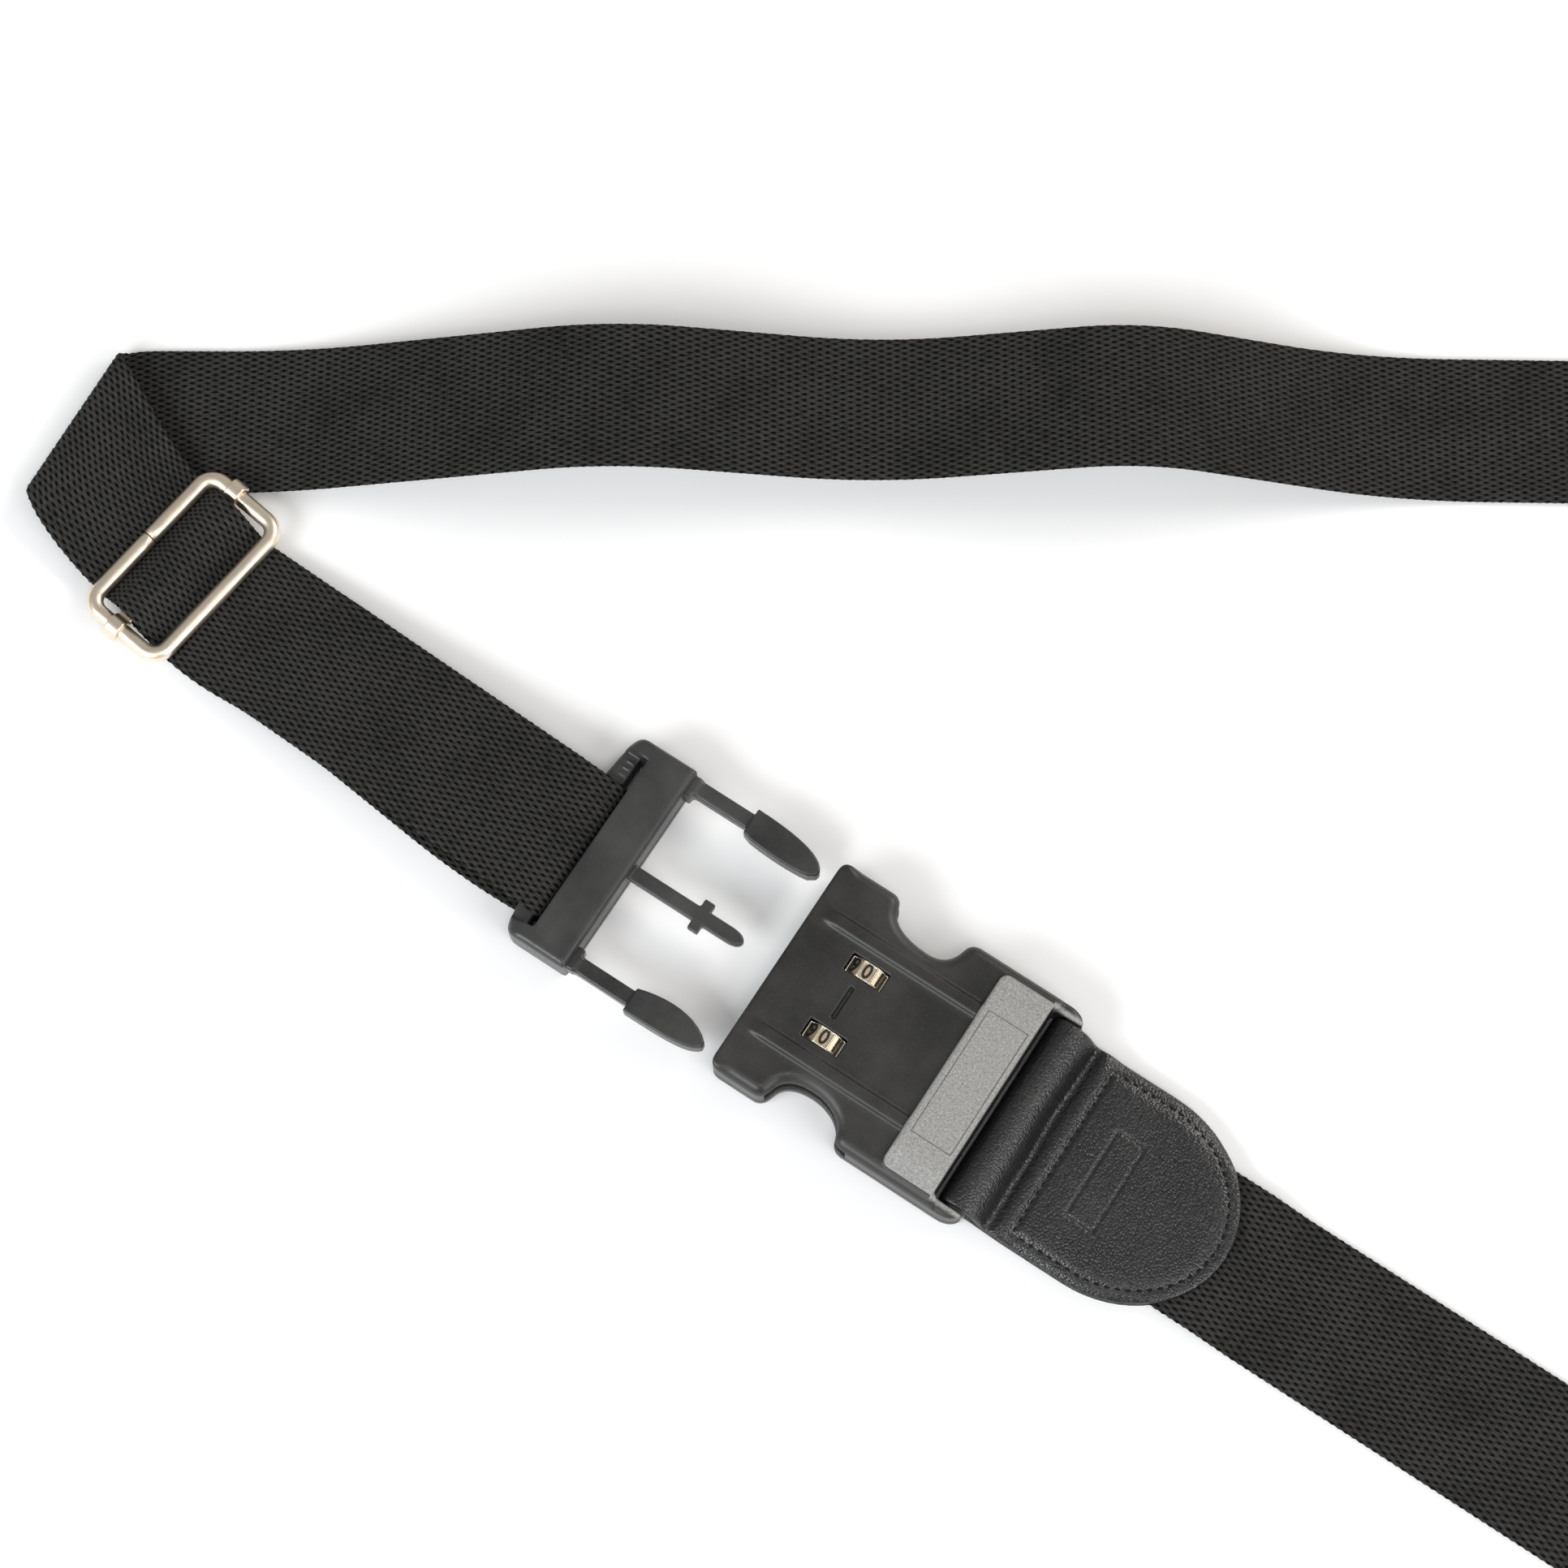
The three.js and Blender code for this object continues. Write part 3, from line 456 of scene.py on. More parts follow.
def swing(points, flat, step):
    """Carries strip points past one bend: drawn back by the arc they used, then swung round it."""
    skew = math.radians(step["skew"])
    sense = math.copysign(1, step["angle"])
    radius = step["radius"]
    if step["flat"]:
        along = np.array([1.0, 0, 0])
        axis = np.array([0, 0, sense])
        centre = np.array([step["at"], sense * radius, 0])
    else:
        along = np.array([math.cos(skew), -math.sin(skew), 0])
        axis = np.array([-math.sin(skew), -math.cos(skew), 0]) * sense
        centre = np.array([step["at"], 0, sense * radius])
    reach = (flat[:, 0] - step["at"]) * along[0] + flat[:, 1] * along[1]
    angles = np.clip(reach / radius, 0, math.radians(abs(step["angle"])))
    moved = turned(points - np.outer(angles * radius, along) - centre, axis, angles) + centre
    return np.where(reach[:, None] > 0, moved, points)


def strip_places(route, flat):
    """Where strip points (s along, t across, w above the middle layer) lie in space."""
    points = flat.copy()
    for step in reversed(route["bends"]):
        points = swing(points, flat, step)
    heading = math.radians(route["heading"])
    up = np.array([0, 0, 1.0])
    return turned(points, up, np.full(len(points), heading)) + np.array(route["start"])


def weave_height(s, t):
    """Height of the woven surface over the strip's middle layer."""
    swell = np.cos(math.pi * s / WEFT_PITCH) * np.cos(math.pi * t / WARP_PITCH)
    return WEAVE_HEIGHT + WEAVE_SWELL * swell


def row_places(route, start, end):
    """Where the strip's cross rows lie: two a weft pitch, and twice as close near a skewed fold."""
    sharp_angle, arc_middle, reach, shortest = 40, 1.5, 13.0, 0.3
    rows = np.arange(math.ceil(start), end, WEFT_PITCH / 2)
    tight = [b["at"] for b in route["bends"] if abs(b["angle"]) > sharp_angle and not b["flat"]]
    middles = rows + WEFT_PITCH / 4
    near = np.min([np.abs(middles - at - arc_middle) for at in tight], axis=0) < reach
    rows = np.sort(np.concatenate([rows, middles[near & (middles < end)]]))
    return np.concatenate([[start], rows[rows > start + shortest], [end]])


def pinch(route, s, side):
    """How much of its half width the strip keeps: each sharp fold draws the edges in."""
    full_fold, widest = 170, 2.6
    kept = np.ones(s.shape)
    for step in route["bends"]:
        if abs(step["angle"]) < full_fold or step["radius"] > widest:
            continue
        skew = math.radians(step["skew"])
        half_arc = step["radius"] * math.pi / 2 / math.cos(skew)
        middle = step["at"] + half_arc + side * WEB_HALF * math.tan(skew)
        kept -= PINCH_SHARE * np.exp(-((s - middle) / PINCH_REACH) ** 2)
    return kept


def add_webbing(name, route, start, end, material):
    """One closed woven strip. Its UV counts yarns, so the weave keeps its scale everywhere."""
    rows = row_places(route, start, end)
    half_count = round(WEB_HALF / WARP_PITCH)
    columns = np.arange(-half_count, half_count + 1) * WARP_PITCH
    edge = WEB_HALF + SELVAGE_SWELL * np.cos(2 * math.pi * rows / WEFT_PITCH)
    s = np.repeat(rows[:, None], 2 * len(columns) + 2, axis=1)
    t = np.concatenate([columns, [0], columns[::-1], [0]])[None, :].repeat(len(rows), 0)
    t[:, len(columns)] = edge
    t[:, -1] = -edge
    over = weave_height(s, t)
    under = weave_height(s + WEFT_PITCH, t)
    w = np.where(np.arange(t.shape[1]) < len(columns), over, -under)
    w[:, [len(columns), -1]] = 0
    rim = [0, len(columns) - 1, len(columns) + 1, -2]
    w[:, rim] *= RIM_SHARE
    yarns = np.stack([t.ravel() / WARP_PITCH, s.ravel() / WEFT_PITCH], 1)
    t *= np.where(t > 0, pinch(route, s, 1), pinch(route, s, -1))
    flat = np.stack([s.ravel(), t.ravel(), w.ravel()], 1)
    ring = t.shape[1]
    first = np.arange(len(rows) - 1)[:, None] * ring + np.arange(ring)[None, :]
    following = np.arange(len(rows) - 1)[:, None] * ring + (np.arange(ring)[None, :] + 1) % ring
    quads = np.stack([first, first + ring, following + ring, following], -1).reshape(-1, 4)
    caps = [list(range(ring)), list(range((len(rows) - 1) * ring, len(rows) * ring))[::-1]]
    piece = add_piece(name, strip_places(route, flat), quads.tolist() + caps, material)
    layer = piece.data.uv_layers.new(name="yarns")
    corner = np.empty(len(piece.data.loops), np.int32)
    piece.data.loops.foreach_get("vertex_index", corner)
    layer.data.foreach_set("uv", yarns[corner].astype(np.float32).ravel())
    return piece


def make_webbing(material):
    main = add_webbing("strap_main", STRAP, MAIN_START, HANK_START, material)
    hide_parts("webbing_slider_pass", "webbing_upper_run", "webbing_upper_corner")
    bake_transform(main)

    hank = add_webbing("strap_hank", STRAP, HANK_START + HAIRLINE, TAIL_START, material)
    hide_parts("webbing_hank")
    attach(hank, "housing")

    tail = add_webbing("strap_tail", STRAP, TAIL_START + HAIRLINE, TAB_END, material)
    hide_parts("webbing_lower_corner", "webbing_lower_run", "webbing_tab_end")
    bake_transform(tail)

    doubled = add_webbing("strap_doubled", LOOP, LOOP_START, LOOP_CUT, material)
    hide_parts("webbing_double_top", "webbing_plug_loop", "webbing_double_bottom")
    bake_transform(doubled)

    bar_start = LOOP_CUT + HAIRLINE
    end = add_webbing("strap_bar_end", LOOP, bar_start, LOOP_END, material)
    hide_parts("webbing_bar_end")
    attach(end, "slider_bar")


# ---------- solids from distance fields ----------

class Space:
    """A regular grid of points over a box, and distance fields on it. Fields are negative inside."""

    def __init__(self, low, high, step):
        self.low = np.array(low, float)
        self.step = step
        counts = np.ceil((np.array(high) - self.low) / step).astype(int) + 1
        self.x, self.y, self.z = np.meshgrid(
            *(l + step * np.arange(n) for l, n in zip(self.low, counts)), indexing="ij", sparse=True)

    def block(self, x0, x1, y0, y1, z0, z1, r=0.0):
        spans = ((self.x, x0, x1), (self.y, y0, y1), (self.z, z0, z1))
        q = [np.abs(c - (a + b) / 2) - (b - a) / 2 + r for c, a, b in spans]
        outside = np.sqrt(sum(np.maximum(part, 0) ** 2 for part in q))
        inside = np.minimum(np.maximum(np.maximum(q[0], q[1]), q[2]), 0)
        return outside + inside - r

    def post(self, x, y, radius, z0, z1, r=0.0):
        """A cylinder along z."""
        round_part = np.sqrt((self.x - x) ** 2 + (self.y - y) ** 2) - radius
        return rounded_cross(round_part, np.abs(self.z - (z0 + z1) / 2) - (z1 - z0) / 2, r)

    def prism(self, plan, z0, z1, r=0.0):
        """A closed plan outline raised from z0 to z1."""
        thickness = np.abs(self.z - (z0 + z1) / 2) - (z1 - z0) / 2
        return rounded_cross(outline_field(self.x, self.y, plan), thickness, r)


def rounded_cross(a, b, r):
    outside = np.sqrt(np.maximum(a + r, 0) ** 2 + np.maximum(b + r, 0) ** 2)
    return outside + np.minimum(np.maximum(a + r, b + r), 0) - r


def smooth_max(a, b, k):
    h = np.clip(0.5 + 0.5 * (a - b) / k, 0, 1)
    return b + (a - b) * h + k * h * (1 - h)


def join(a, b, k=0.3):
    return -smooth_max(-a, -b, k)


def carve(a, b, k=0.3):
    return smooth_max(a, -b, k)


def line_distance(x, y, points):
    """Distance to an open line through points."""
    nearest = np.full(np.broadcast(x, y).shape, np.inf)
    for (ax, ay), (bx, by) in zip(points[:-1], points[1:]):
        length = max((bx - ax) ** 2 + (by - ay) ** 2, 1e-12)
        share = np.clip(((x - ax) * (bx - ax) + (y - ay) * (by - ay)) / length, 0, 1)
        nearest = np.minimum(nearest, np.hypot(x - ax - share * (bx - ax), y - ay - share * (by - ay)))
    return nearest


def outline_field(x, y, points):
    """Signed distance to a closed outline."""
    closed = list(points) + [points[0]]
    inside = np.zeros(np.broadcast(x, y).shape, bool)
    for (ax, ay), (bx, by) in zip(closed[:-1], closed[1:]):
        if ay != by:
            inside ^= ((ay > y) != (by > y)) & (x < (bx - ax) * (y - ay) / (by - ay) + ax)
    return np.where(inside, -1, 1) * line_distance(x, y, closed)


def surface_of(space, field):
    """Vertices and quads of a field's zero surface, by naive surface nets."""
    field = np.ascontiguousarray(field)
    cells = np.array(field.shape) - 1
    strides = np.array([cells[1] * cells[2], cells[2], 1])
    ids, places, quads = [], [], []
    for axis in range(3):
        first = np.moveaxis(field, axis, 0)[:-1]
        second = np.moveaxis(field, axis, 0)[1:]
        hit = (first < 0) != (second < 0)
        where = np.argwhere(np.moveaxis(hit, 0, axis))
        a = field[tuple(where.T)]
        ahead = where.copy()
        ahead[:, axis] += 1
        b = field[tuple(ahead.T)]
        place = where.astype(float)
        place[:, axis] += a / (a - b)
        u, v = (axis + 1) % 3, (axis + 2) % 3
        inner = np.all((where[:, [u, v]] > 0) & (where[:, [u, v]] < cells[[u, v]]), axis=1)
        where, place, a = where[inner], place[inner], a[inner]
        around = []
        for du, dv in ((0, 0), (1, 0), (1, 1), (0, 1)):
            cell = where.copy()
            cell[:, u] -= du
            cell[:, v] -= dv
            around.append(cell @ strides)
            ids.append(around[-1])
            places.append(place)
        ring = np.stack(around, 1)
        ring[a >= 0] = ring[a >= 0][:, ::-1]
        quads.append(ring)
    keys, index = np.unique(np.concatenate(ids), return_inverse=True)
    total = np.zeros((len(keys), 3))
    np.add.at(total, index, np.concatenate(places))
    vertices = space.low + space.step * total / np.bincount(index)[:, None]
    return vertices, np.searchsorted(keys, np.concatenate(quads))


def add_solid(name, space, field, material, body=None):
    vertices, quads = surface_of(space, field)
    return add_piece(name, vertices, quads.tolist(), material, body)


def curve_points(*controls, steps=10):
    """Points on a quadratic or cubic Bezier curve, without its first point."""
    shares = np.arange(1, steps + 1) / steps
    points = [np.array(c, float)[None, :] for c in controls]
    while len(points) > 1:
        points = [a + (b - a) * shares[:, None] for a, b in zip(points[:-1], points[1:])]
    return [tuple(p) for p in points[0]]


# ---------- the socket ----------

def notch(start, deepest, end):
    """The rounded release notch in one side, as (x, y) points on the +y side."""
    edge, deep = SOCKET_HALF, NOTCH_FLOOR
    points = curve_points((start - 3, edge), (start - 0.2, edge), (start + 0.6, edge - 3), steps=6)
    points += curve_points(
        (start + 0.6, edge - 3), (start + 1.4, deep + 0.6), (deepest - 3, deep), (deepest, deep))
    points += curve_points(
        (deepest, deep), (deepest + 4.4, deep), (end - 1.4, edge - 6), (end - 0.6, edge - 2.6))
    return points + curve_points((end - 0.6, edge - 2.6), (end + 0.1, edge), (end + 3, edge), steps=6)


def housing_outline():
    """The socket's plan, with a round release notch in each side."""
    front, rear, edge = SOCKET_FRONT, SOCKET_REAR, SOCKET_HALF

    def half(opening):
        points = [(front, 0), (front, edge - 3)]
        points += curve_points((front, edge - 3), (front, edge), (front + 3, edge))
        points += [(opening[0] - 3, edge)] + notch(*opening) + [(rear - 6, edge)]
        return points + curve_points((rear - 6, edge), (rear, edge), (rear, edge - 6)) + [(rear, 0)]

    left = half(LEFT_NOTCH)
    right = half(RIGHT_NOTCH)
    return left + [(x, -y) for x, y in right[-2:0:-1]]


def ramp(value, low, high):
    share = np.clip((value - low) / (high - low), 0, 1)
    return share * share * (3 - 2 * share)


def spread(near, far):
    """The same y range on both sides of the buckle."""
    return (near, far), (-far, -near)


def make_upper_shell(material):
    s = Space((-21.5, -32, 3.6), (53.5, 32, 17.6), 0.38)
    side = np.abs(s.y)
    soft = 0.8 + 2.2 * ramp(s.x, SOCKET_FRONT, -14)
    shell = s.prism(housing_outline(), -10, DECK, soft)
    rise = RIB_RISE * ramp(s.x, -19, -12)
    rib_top = DECK + rise * ramp(side, 14.0, 15.5) * (1 - ramp(side, 17.7, 19.0))
    rib_plan = np.maximum(np.abs(side - RIB_MIDDLE) - 3, np.abs(s.x - 4.5) - 24.3)
    rib = np.maximum(np.maximum(s.z - rib_top, 12 - s.z), rib_plan)
    shell = join(shell, rib, 0.3)
    plan = [(28.2, 0), (28.2, 25.6)] + curve_points((28.2, 25.6), (28.2, 28), (30.6, 28)) + [(43, 28)]
    plan += [(x, -y) for x, y in plan[::-1][:-1]]
    bridge = s.prism(plan, 10, BRIDGE_TOP, 1.2)
    bridge = smooth_max(bridge, s.z - BRIDGE_TOP + 1.5 * ramp(side, 21, 28.5), 0.5)
    shell = join(shell, bridge, 0.5)

    # Behind the bridge: the lower rear rim, the open slot and the bar that the leather folds round.
    shell = carve(shell, s.block(44.4, 60, -40, 40, 12, 30, 0.4), 1.2)
    shell = carve(shell, s.block(43, 60, -27.5, 27.5, -5, 30, 1.2), 0.8)
    shell = join(shell, s.block(46, 52, -28, 28, 5, 10, 1.8), 0.2)

    # The index groove, the dial windows, and the pockets for the dials and their cams.
    shell = carve(shell, s.block(-1.4, -0.25, -4.6, 4.6, 13.25, 30), 0.1)
    for y0, y1 in spread(DIAL_Y - 2.5, DIAL_Y + 2.5):
        shell = carve(shell, s.block(-5.35, 5.35, y0, y1, 8, 30), 0.12)
    for y0, y1 in spread(*DIAL_POCKET):
        shell = carve(shell, s.block(-7.1, 8.2, y0, y1, 0, 12.6), 0.1)
    for y0, y1 in spread(*CAM_POCKET):
        shell = carve(shell, s.block(-5.2, 5.4, y0, y1, 0, 12.7), 0.1)

    # The channels for the plug's two fingers and its centre prong, and the parting face.
    for y0, y1 in spread(19.2, 29):
        shell = carve(shell, s.block(-30, 21.5, y0, y1, 0, CHANNEL_ROOF), 0.3)
    for y0, y1 in spread(19.2, 34):
        shell = carve(shell, s.block(-3.6, 19.5, y0, y1, 0, CHANNEL_ROOF), 0.3)
    shell = carve(shell, s.block(-30, 14.5, -2.6, 2.6, 0, CHANNEL_ROOF), 0.3)
    shell = carve(shell, s.block(-30, 5.4, -5.4, 5.4, 0, CHANNEL_ROOF), 0.3)
    shell = smooth_max(shell, 4.7 - s.z, 0.25)
    piece = add_solid("socket_upper", s, shell, material, "housing")
    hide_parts("top_shell")


def make_lower_shell(material):
    s = Space((-21.5, -32, -1), (53.5, 32, 5.4), 0.4)
    shell = s.prism(housing_outline(), 0, 20, 1.2)
    shell = carve(shell, s.block(43, 60, -27.5, 27.5, -5, 30, 0.3), 0.4)
    for y0, y1 in spread(*DIAL_POCKET):
        shell = carve(shell, s.block(-7.1, 8.2, y0, y1, 1.2, 30), 0.1)
    for y0, y1 in spread(*CAM_POCKET):
        shell = carve(shell, s.block(-5.2, 5.4, y0, y1, 3, 30), 0.1)
    for x, y in SCREW_PLACES:
        shell = carve(shell, s.post(x, y, 2.6, -5, 1.8), 0.2)
    shell = smooth_max(shell, s.z - 4.4, 0.25)
    piece = add_solid("socket_lower", s, shell, material, "housing")
    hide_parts("bottom_shell")


def make_index_mark(material):
    """The dark line between the dial windows that the figures are read against, laid in its groove."""
    s = Space((-2.1, -5.2, 12.9), (0.5, 5.2, 14.1), 0.1)
    mark = s.block(-1.25, -0.4, -4.4, 4.4, 13.2, 13.6, 0.1)
    piece = add_solid("index_mark", s, mark, material, "housing")


# ---------- the dials ----------

def make_dial(side, index, metal, panel, paint):
    """A ten-sided wheel with sunk panels, and its figures."""
    body = f"dial_{index}"
    half_side = math.radians(180 / DIAL_SIDES)
    bm = bmesh.new()
    bmesh.ops.create_cone(
        bm, cap_ends=True, segments=DIAL_SIDES, radius1=DIAL_RADIUS, radius2=DIAL_RADIUS, depth=DIAL_WIDTH)
    bmesh.ops.rotate(bm, verts=bm.verts, matrix=Matrix.Rotation(half_side, 3, "Z"))
    bmesh.ops.rotate(bm, verts=bm.verts, matrix=Matrix.Rotation(math.radians(90), 3, "X"))
    bmesh.ops.translate(bm, verts=bm.verts, vec=(0, side * DIAL_Y, DIAL_Z))
    panels = [f for f in bm.faces if len(f.verts) == 4]
    bmesh.ops.inset_individual(bm, faces=panels, thickness=0.34, depth=0.0)
    bmesh.ops.inset_individual(bm, faces=panels, thickness=0.12, depth=-0.25)
    for face in panels:
        face.material_index = 1
    bmesh.ops.scale(bm, vec=(MM, MM, MM), verts=bm.verts)
    mesh = bpy.data.meshes.new(f"dial_{index}_wheel_piece")
    bm.to_mesh(mesh)
    bm.free()
    mesh.materials.append(metal)
    mesh.materials.append(panel)
    wheel = bpy.data.objects.new(f"dial_{index}_wheel_piece", mesh)
    bpy.context.scene.collection.objects.link(wheel)
    soften = wheel.modifiers.new("soften", "BEVEL")
    soften.width = 0.00012
    soften.segments = 2
    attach(wheel, body)
    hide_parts(f"dial_wheel_{index}")
    for number in range(DIAL_SIDES):
        add_figure(number, side, index, paint, body)


def add_figure(number, side, index, paint, body):
    """One figure on its panel, upright as seen from the socket's rear."""
    curve = bpy.data.curves.new(f"dial_{index}_figure_{number}", "FONT")
    curve.body = str(number)
    curve.size = 0.0054
    curve.align_x = "CENTER"
    curve.align_y = "CENTER"
    curve.extrude = 0.00006
    curve.offset = 0.00012
    curve.materials.append(paint)
    figure = bpy.data.objects.new(curve.name, curve)
    sunk, narrowed = 0.22, 0.86
    apothem = DIAL_RADIUS * math.cos(math.radians(180 / DIAL_SIDES)) - sunk
    place = Matrix.Translation((0, side * DIAL_Y * MM, DIAL_Z * MM))
    spin = Matrix.Rotation(math.radians(360 / DIAL_SIDES * number), 4, "Y")
    lift = Matrix.Translation((0, 0, apothem * MM))
    figure.matrix_world = place @ spin @ lift @ Matrix.Diagonal((narrowed, 1, 1, 1))
    bpy.context.scene.collection.objects.link(figure)
    bpy.context.view_layer.update()
    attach(figure, body)


# ---------- the plug ----------

def make_plug(material):
    s = Space((-84.4, -31.5, -1), (-28.5, 31.5, 13.8), 0.38)
    plan = [(-63, 0), (-63, 29)] + curve_points((-63, 29), (-63, 30), (-64, 30), steps=4)
    plan += [(-78, 30)] + curve_points((-78, 30), (-81.6, 30), (-82, 26.4), (-82.8, 18))
    plan += [(-83.1, 8), (-83.2, 0)]
    plan += [(x, -y) for x, y in plan[-2:0:-1]]
    frame_part = s.prism(plan, 0, 12.6, 1.9)
    hollow = s.block(-90, -75.1, -25.4, 25.4, -5, 30, 0.4)
    frame_part = carve(frame_part, hollow, 0.5)
    slope = (s.z - 9.4) * 0.82 - (s.x + 82.4) * 0.57 + 0 * s.y
    frame_part = smooth_max(frame_part, slope, 1.4)

    # The flat front bar, the parting line round it, and the small ribs beside the strap's slot.
    bar = s.prism(plan, 2.4, 9.0, 1.4)
    bar = np.maximum(smooth_max(bar, s.x + 77.2, 0.8), np.abs(s.y) - 26.5)
    plug = join(frame_part, bar, 0.5)
    parting_line = s.block(-63.5, -62, -29, 29, 4.2, 4.6)
    plug = carve(plug, parting_line, 0.3)
    for y in (19.6, 21.4, 23.2):
        plug = join(plug, s.block(-80.2, -78.0, y - 0.2, y + 0.2, 8.2, 9.35, 0.15), 0.2)

    # The centre prong and its lock lug.
    shank = [(-64, -2), (-34, -2)]
    shank += curve_points((-34, -2), (-30.2, -1.9), (-30, 0), steps=8)
    shank += curve_points((-30, 0), (-30.2, 1.9), (-34, 2), steps=8)
    shank += [(-64, 2)]
    plug = join(plug, s.prism(shank, 6.5, 9.5, 0.4), 0.7)
    plug = join(plug, s.block(-43.9, -40.9, -4.3, 4.3, 6.6, 9.4, 0.3), 0.3)
    piece = add_solid("plug_moulding", s, plug, material, "plug")
    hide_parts("plug_body")


def one_side(side, near, far):
    """A y range on one side of the buckle, its lower end first."""
    return sorted((side * near, side * far))


def make_finger(side, name, material):
    """A sprung finger of the plug, moulded on at its root and free at its barbed head."""
    low, high = one_side(side, 20, 32)
    s = Space((-66, low, 3.8), (-22.6, high, 12.2), 0.34)
    if side > 0:
        head = [(-45.3, 23.4), (-43, 22.6)]
        head += curve_points((-43, 22.6), (-36, 21.9), (-30, 22.0), (-26, 22.6))
        head += [(-24.0, 23.9), (-23.8, 25.2)]
        head += curve_points((-23.8, 25.2), (-25, 28.4), (-31.5, 30.3), (-45.3, 30.4))
    else:
        head = [(-45.3, 23.9)] + curve_points((-45.3, 23.9), (-38, 21.6), (-29, 21.3), (-24, 26.2))
        head += [(-23.9, 27.6)]
        head += curve_points((-23.9, 27.6), (-26.4, 30.2), (-31.5, 30.5), (-45.3, 30.5))
    head = [(x, side * y) for x, y in head]
    arm = s.block(-65, -42, *one_side(side, 24.6, 28.9), 5.8, 10.2, 0.7)
    flare = s.block(-65, -61.2, *one_side(side, 22.9, 29.0), 5.4, 10.4, 0.4)
    finger = join(join(arm, flare, 1.2), s.prism(head, 5, 11, 0.5), 0.4)
    body = "prong_left" if side > 0 else "prong_right"
    piece = add_solid(name, s, finger, material)
    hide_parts(body)
    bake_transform(piece)


# ---------- the leather tab ----------

LEATHER = 1.6
TAB_TIP = 110.4
TAB_HALF = 26.8
TAB_STRAIGHT = 80.0
ROLL_X = 49
ROLL_Z = 7.5
ROLL_RADIUS = 4.2
STITCH_X = 63.6
STITCH_INSET = 3.1
STITCH_PITCH = 2.6
STITCH_LEVEL = 5.22
STITCH_DIP = 0.4

# The debossed frame on the tab: its middle, its half sizes across the line, and the line's radius.
MARK_MIDDLE = (75.9, -0.6)
MARK_HALF = (3.9, 12.2)
MARK_LINE = 0.42


def tab_outline(inset=0.0):
    """The tab's plan: straight sides and a rounded end, drawn in by an inset."""
    half = TAB_HALF - inset
    turn_angles = np.radians(np.linspace(-90, 90, 33))
    reach = TAB_TIP - inset - TAB_STRAIGHT
    end = [(TAB_STRAIGHT + reach * math.cos(a), half * math.sin(a)) for a in turn_angles]
    return [(40, -half)] + end + [(40, half)]


def tab_line():
    """The middle of the leather, from the lower end round the bar to the upper end, seen from the side."""
    half = LEATHER / 2
    low, high = ROLL_Z - ROLL_RADIUS, ROLL_Z + ROLL_RADIUS
    points = [(125, half), (64, half)]
    points += curve_points((64, half), (58, half), (55, low), (ROLL_X, low))
    angles = np.radians(np.linspace(-90, -270, 13))[1:]
    points += [(ROLL_X + ROLL_RADIUS * math.cos(a), ROLL_Z + ROLL_RADIUS * math.sin(a)) for a in angles]
    points += curve_points((ROLL_X, high), (53.8, high), (54.6, 7.6), (55.8, 5.6), steps=12)
    points += curve_points((55.8, 5.6), (56.8, 4.0), (58.0, 4.2), (59.2, 4.9), steps=8)
    points += curve_points((59.2, 4.9), (60.6, 5.7), (62.4, 5.4), (64.8, 4.8), steps=8)
    points += curve_points((64.8, 4.8), (69, 4.5), (125, 4.5), steps=10)
    return points


def seam_lines():
    """Where the two seams run: one across the tab, and one along its edge."""
    side = TAB_HALF - STITCH_INSET
    rim = [p for p in tab_outline(STITCH_INSET) if p[0] > TAB_STRAIGHT - 1]
    across = [(STITCH_X, -side), (STITCH_X, side)]
    first = STITCH_X + 1.6
    return [across, [(first, -side)] + rim + [(first, side)]]


def stitch_places():
    """Middle and direction of every stitch."""
    for seam in seam_lines():
        points = np.array(seam)
        lengths = np.r_[0, np.cumsum(np.hypot(*np.diff(points, axis=0).T))]
        for along in np.arange(STITCH_PITCH / 2, lengths[-1], STITCH_PITCH):
            here = [np.interp(along, lengths, points[:, k]) for k in (0, 1)]
            ahead = [np.interp(along + 0.5, lengths, points[:, k]) for k in (0, 1)]
            behind = [np.interp(along - 0.5, lengths, points[:, k]) for k in (0, 1)]
            yield np.array(here), math.atan2(ahead[1] - behind[1], ahead[0] - behind[0])


def plump(x, y):
    """How far the upper leather stands above its flat height: proud in the middle, pressed at the edge."""
    margin = np.clip(1 + outline_field(x, y, tab_outline()) / 6.5, 0, 1)
    pressed = ramp(np.abs(y), 18.5, 24) * ramp(x, 58, 66) + 0.15
    return 0.45 * ramp(x, 62, 70) * (1 - margin) - 1.5 * margin ** 2 * np.minimum(pressed, 1)


def make_tab(material, thread):
    s = Space((42.8, -28, -1), (111.6, 28, 13.6), 0.4)
    wave = 0.3 * np.sin(s.y * 0.13 + 0.6) + 0.1 * np.sin(s.y * 0.31)
    roll = np.clip(1 - np.abs(s.x - 57) / 7, 0, 1)
    level = s.z - plump(s.x, s.y) * ramp(s.z, 2.2, 3.8)
    middle = line_distance(s.x + wave * roll + 0 * s.z, level, tab_line())
    leather = middle - LEATHER / 2
    leather = smooth_max(leather, outline_field(s.x, s.y, tab_outline()), 0.9)
    for seam in seam_lines():
        pressed = np.hypot(line_distance(s.x, s.y, seam), level - 6.25)
        leather = smooth_max(leather, 1.0 - pressed, 0.6)
    beside = np.abs(s.x - MARK_MIDDLE[0]) - MARK_HALF[0]
    sunk = np.maximum(beside, np.abs(s.y - MARK_MIDDLE[1]) - MARK_HALF[1])
    leather = smooth_max(leather, MARK_LINE - np.hypot(sunk, level - 5.5), 0.35)
    leather = smooth_max(leather, -s.z, 0.2)
    piece = add_solid("tab_leather_piece", s, leather, material, "tab")
    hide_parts("leather_tab")
    make_stitches(thread)


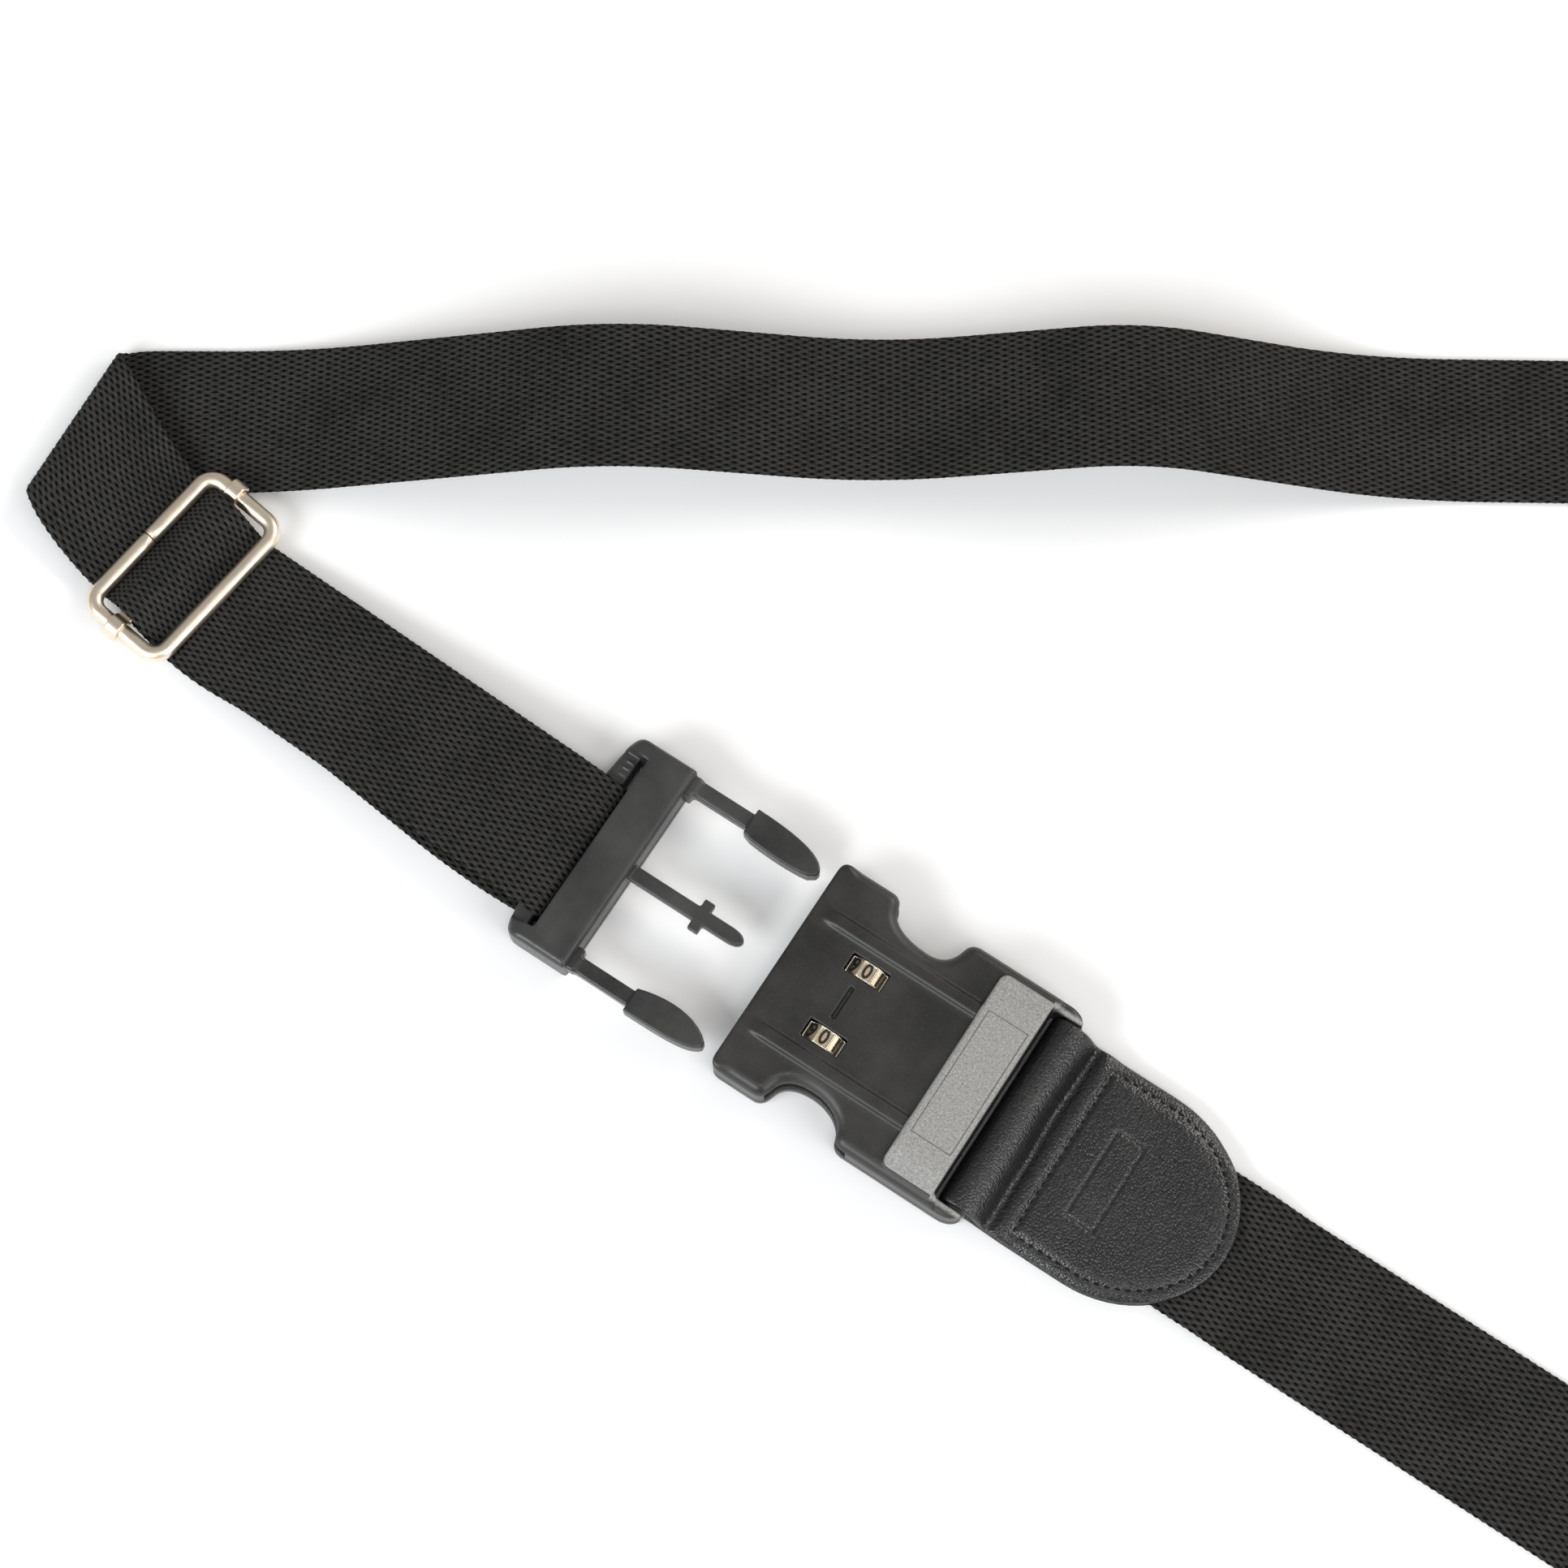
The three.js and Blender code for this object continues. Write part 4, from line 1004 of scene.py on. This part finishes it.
def make_stitches(thread):
    """Each stitch is a short thread that dips into the leather at both ends."""
    vertices, faces = [], []
    rings, sides, half, radius = 7, 8, 0.8, 0.3
    for (x, y), angle in stitch_places():
        start = len(vertices)
        for i in range(rings):
            share = -1 + 2 * i / (rings - 1)
            lift = float(plump(np.array(x), np.array(y))) + STITCH_LEVEL - STITCH_DIP * share ** 2
            for k in range(sides):
                a = 2 * math.pi * k / sides
                across = radius * math.cos(a)
                vertices.append((
                    x + math.cos(angle) * half * share - math.sin(angle) * across,
                    y + math.sin(angle) * half * share + math.cos(angle) * across,
                    lift + radius * math.sin(a),
                ))
        for i in range(rings - 1):
            for k in range(sides):
                a = start + i * sides + k
                b = start + i * sides + (k + 1) % sides
                faces.append((a, b, b + sides, a + sides))
        faces.append(tuple(start + k for k in range(sides))[::-1])
        faces.append(tuple(start + (rings - 1) * sides + k for k in range(sides)))
    piece = add_piece("tab_stitching", vertices, faces, thread, "tab")


# ---------- the slider ----------

def slider_place():
    return Matrix.Translation(SLIDER_AT) @ Matrix.Rotation(math.radians(SLIDER_TURN), 4, "Z")


def in_row(points, matrix):
    array = np.array(matrix)
    return np.asarray(points) @ array[:3, :3].T + array[:3, 3]


def make_slider_wire(material):
    """Round wire bent into a rectangle; its ends butt in the middle of one long side."""
    long, wide, corner, radius, seam = 22.9, 11.9, 4.4, 2.1, 0.16
    corners = [(-wide, long, 180), (wide, long, 90), (wide, -long, 0), (-wide, -long, -90)]
    path = [(-wide, seam), (-wide, seam + 0.25), (-wide, seam + 3)]
    for u, v, first in corners:
        cu = u - math.copysign(corner, u)
        cv = v - math.copysign(corner, v)
        for k in range(13):
            a = math.radians(first - k * 7.5)
            path.append((cu + corner * math.cos(a), cv + corner * math.sin(a)))
    path += [(-wide, -seam - 3), (-wide, -seam - 0.25), (-wide, -seam)]
    path = np.array(path)
    along = np.gradient(path, axis=0)
    along /= np.linalg.norm(along, axis=1)[:, None]
    sides = 24
    angles = 2 * math.pi * np.arange(sides) / sides
    sizes = np.full(len(path), radius)
    sizes[[0, -1]] = radius * 0.9
    normal = np.stack([along[:, 1], -along[:, 0]], 1)
    flat = path[:, None, :] + normal[:, None, :] * (np.cos(angles)[None, :, None] * sizes[:, None, None])
    height = np.sin(angles)[None, :] * sizes[:, None]
    points = np.concatenate([flat, height[..., None]], 2).reshape(-1, 3)
    faces = []
    for i in range(len(path) - 1):
        for k in range(sides):
            a, b = i * sides + k, i * sides + (k + 1) % sides
            faces.append((a, a + sides, b + sides, b))
    faces.append(tuple(range(sides)))
    faces.append(tuple(range((len(path) - 1) * sides, len(path) * sides))[::-1])
    piece = add_piece("slider_wire", in_row(points, slider_place()), faces, material, "adjuster")
    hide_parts("slider_frame")


def make_slider_crossbar(material):
    """The flat bar that the strap is sewn round; each end curls over the wire."""
    u0, u1, end, curl, half = -3.5, 0.5, 23.1, 2.65, 0.5
    shift, lean = 1.1, 0.035
    s = Space((u0 - 0.6, -end - 3.6, -3.6), (u1 + 0.6, end + 3.6, 3.6), 0.22)
    hook = [(end + curl * math.cos(a), curl * math.sin(a)) for a in np.radians(np.linspace(205, 0, 22))]
    line = [(-v, w) for v, w in hook[::-1]] + [(-19.5, 0), (19.5, 0)] + hook
    band = line_distance(s.y + 0 * s.z, s.z + 0 * s.y, line) - half
    bar = rounded_cross(band, np.abs(s.x - (u0 + u1) / 2) - (u1 - u0) / 2 + 0 * s.y * s.z, 0.2)
    vertices, quads = surface_of(s, bar)
    vertices[:, 0] -= shift + lean * vertices[:, 1]
    places = in_row(vertices, slider_place())
    piece = add_piece("slider_crossbar", places, quads.tolist(), material, "slider_bar")
    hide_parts("slider_bar")


# ---------- the lock work kept from the CAD design ----------

def paint_nodes(finishes):
    for name, material in finishes.items():
        for node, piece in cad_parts.items():
            if node.startswith(name):
                piece.data.materials.clear()
                piece.data.materials.append(material)


def main():
    make_camera()
    make_lights()
    make_floor()
    make_webbing(webbing_material())
    shell = shell_material()
    plug = plastic_material("plug_plastic", (0.019, 0.019, 0.0185), 1300.0, 0.34, 0.9)
    gold = metal_material("champagne_plating", (0.97, 0.85, 0.69), (0.9, 0.77, 0.6), 0.36)
    make_upper_shell(shell)
    make_lower_shell(shell)
    dial = metal_material("dial_metal", (0.95, 0.92, 0.85), (0.86, 0.8, 0.68), 0.24, 1500.0, 0.3)
    panel = metal_material("dial_panel", (0.92, 0.78, 0.56), (0.72, 0.54, 0.33), 0.34, 1500.0, 0.4)
    paint = paint_material()
    make_index_mark(paint)
    make_dial(1, 1, dial, panel, paint)
    make_dial(-1, 2, dial, panel, paint)
    make_plug(plug)
    make_finger(1, "plug_finger_left", plug)
    make_finger(-1, "plug_finger_right", plug)
    make_tab(leather_material(), thread_material())
    make_slider_wire(gold)
    make_slider_crossbar(gold)
    steel = metal_material("plain_steel", (0.5, 0.5, 0.52), (0.35, 0.35, 0.36), 0.32)
    brass = metal_material("turned_brass", (0.72, 0.52, 0.26), (0.5, 0.34, 0.16), 0.3)
    paint_nodes({
        "shell_screw": steel, "dial_axle": steel, "clutch_spring": steel,
        "detent_spring": steel, "lock_cam": brass,
    })


main()
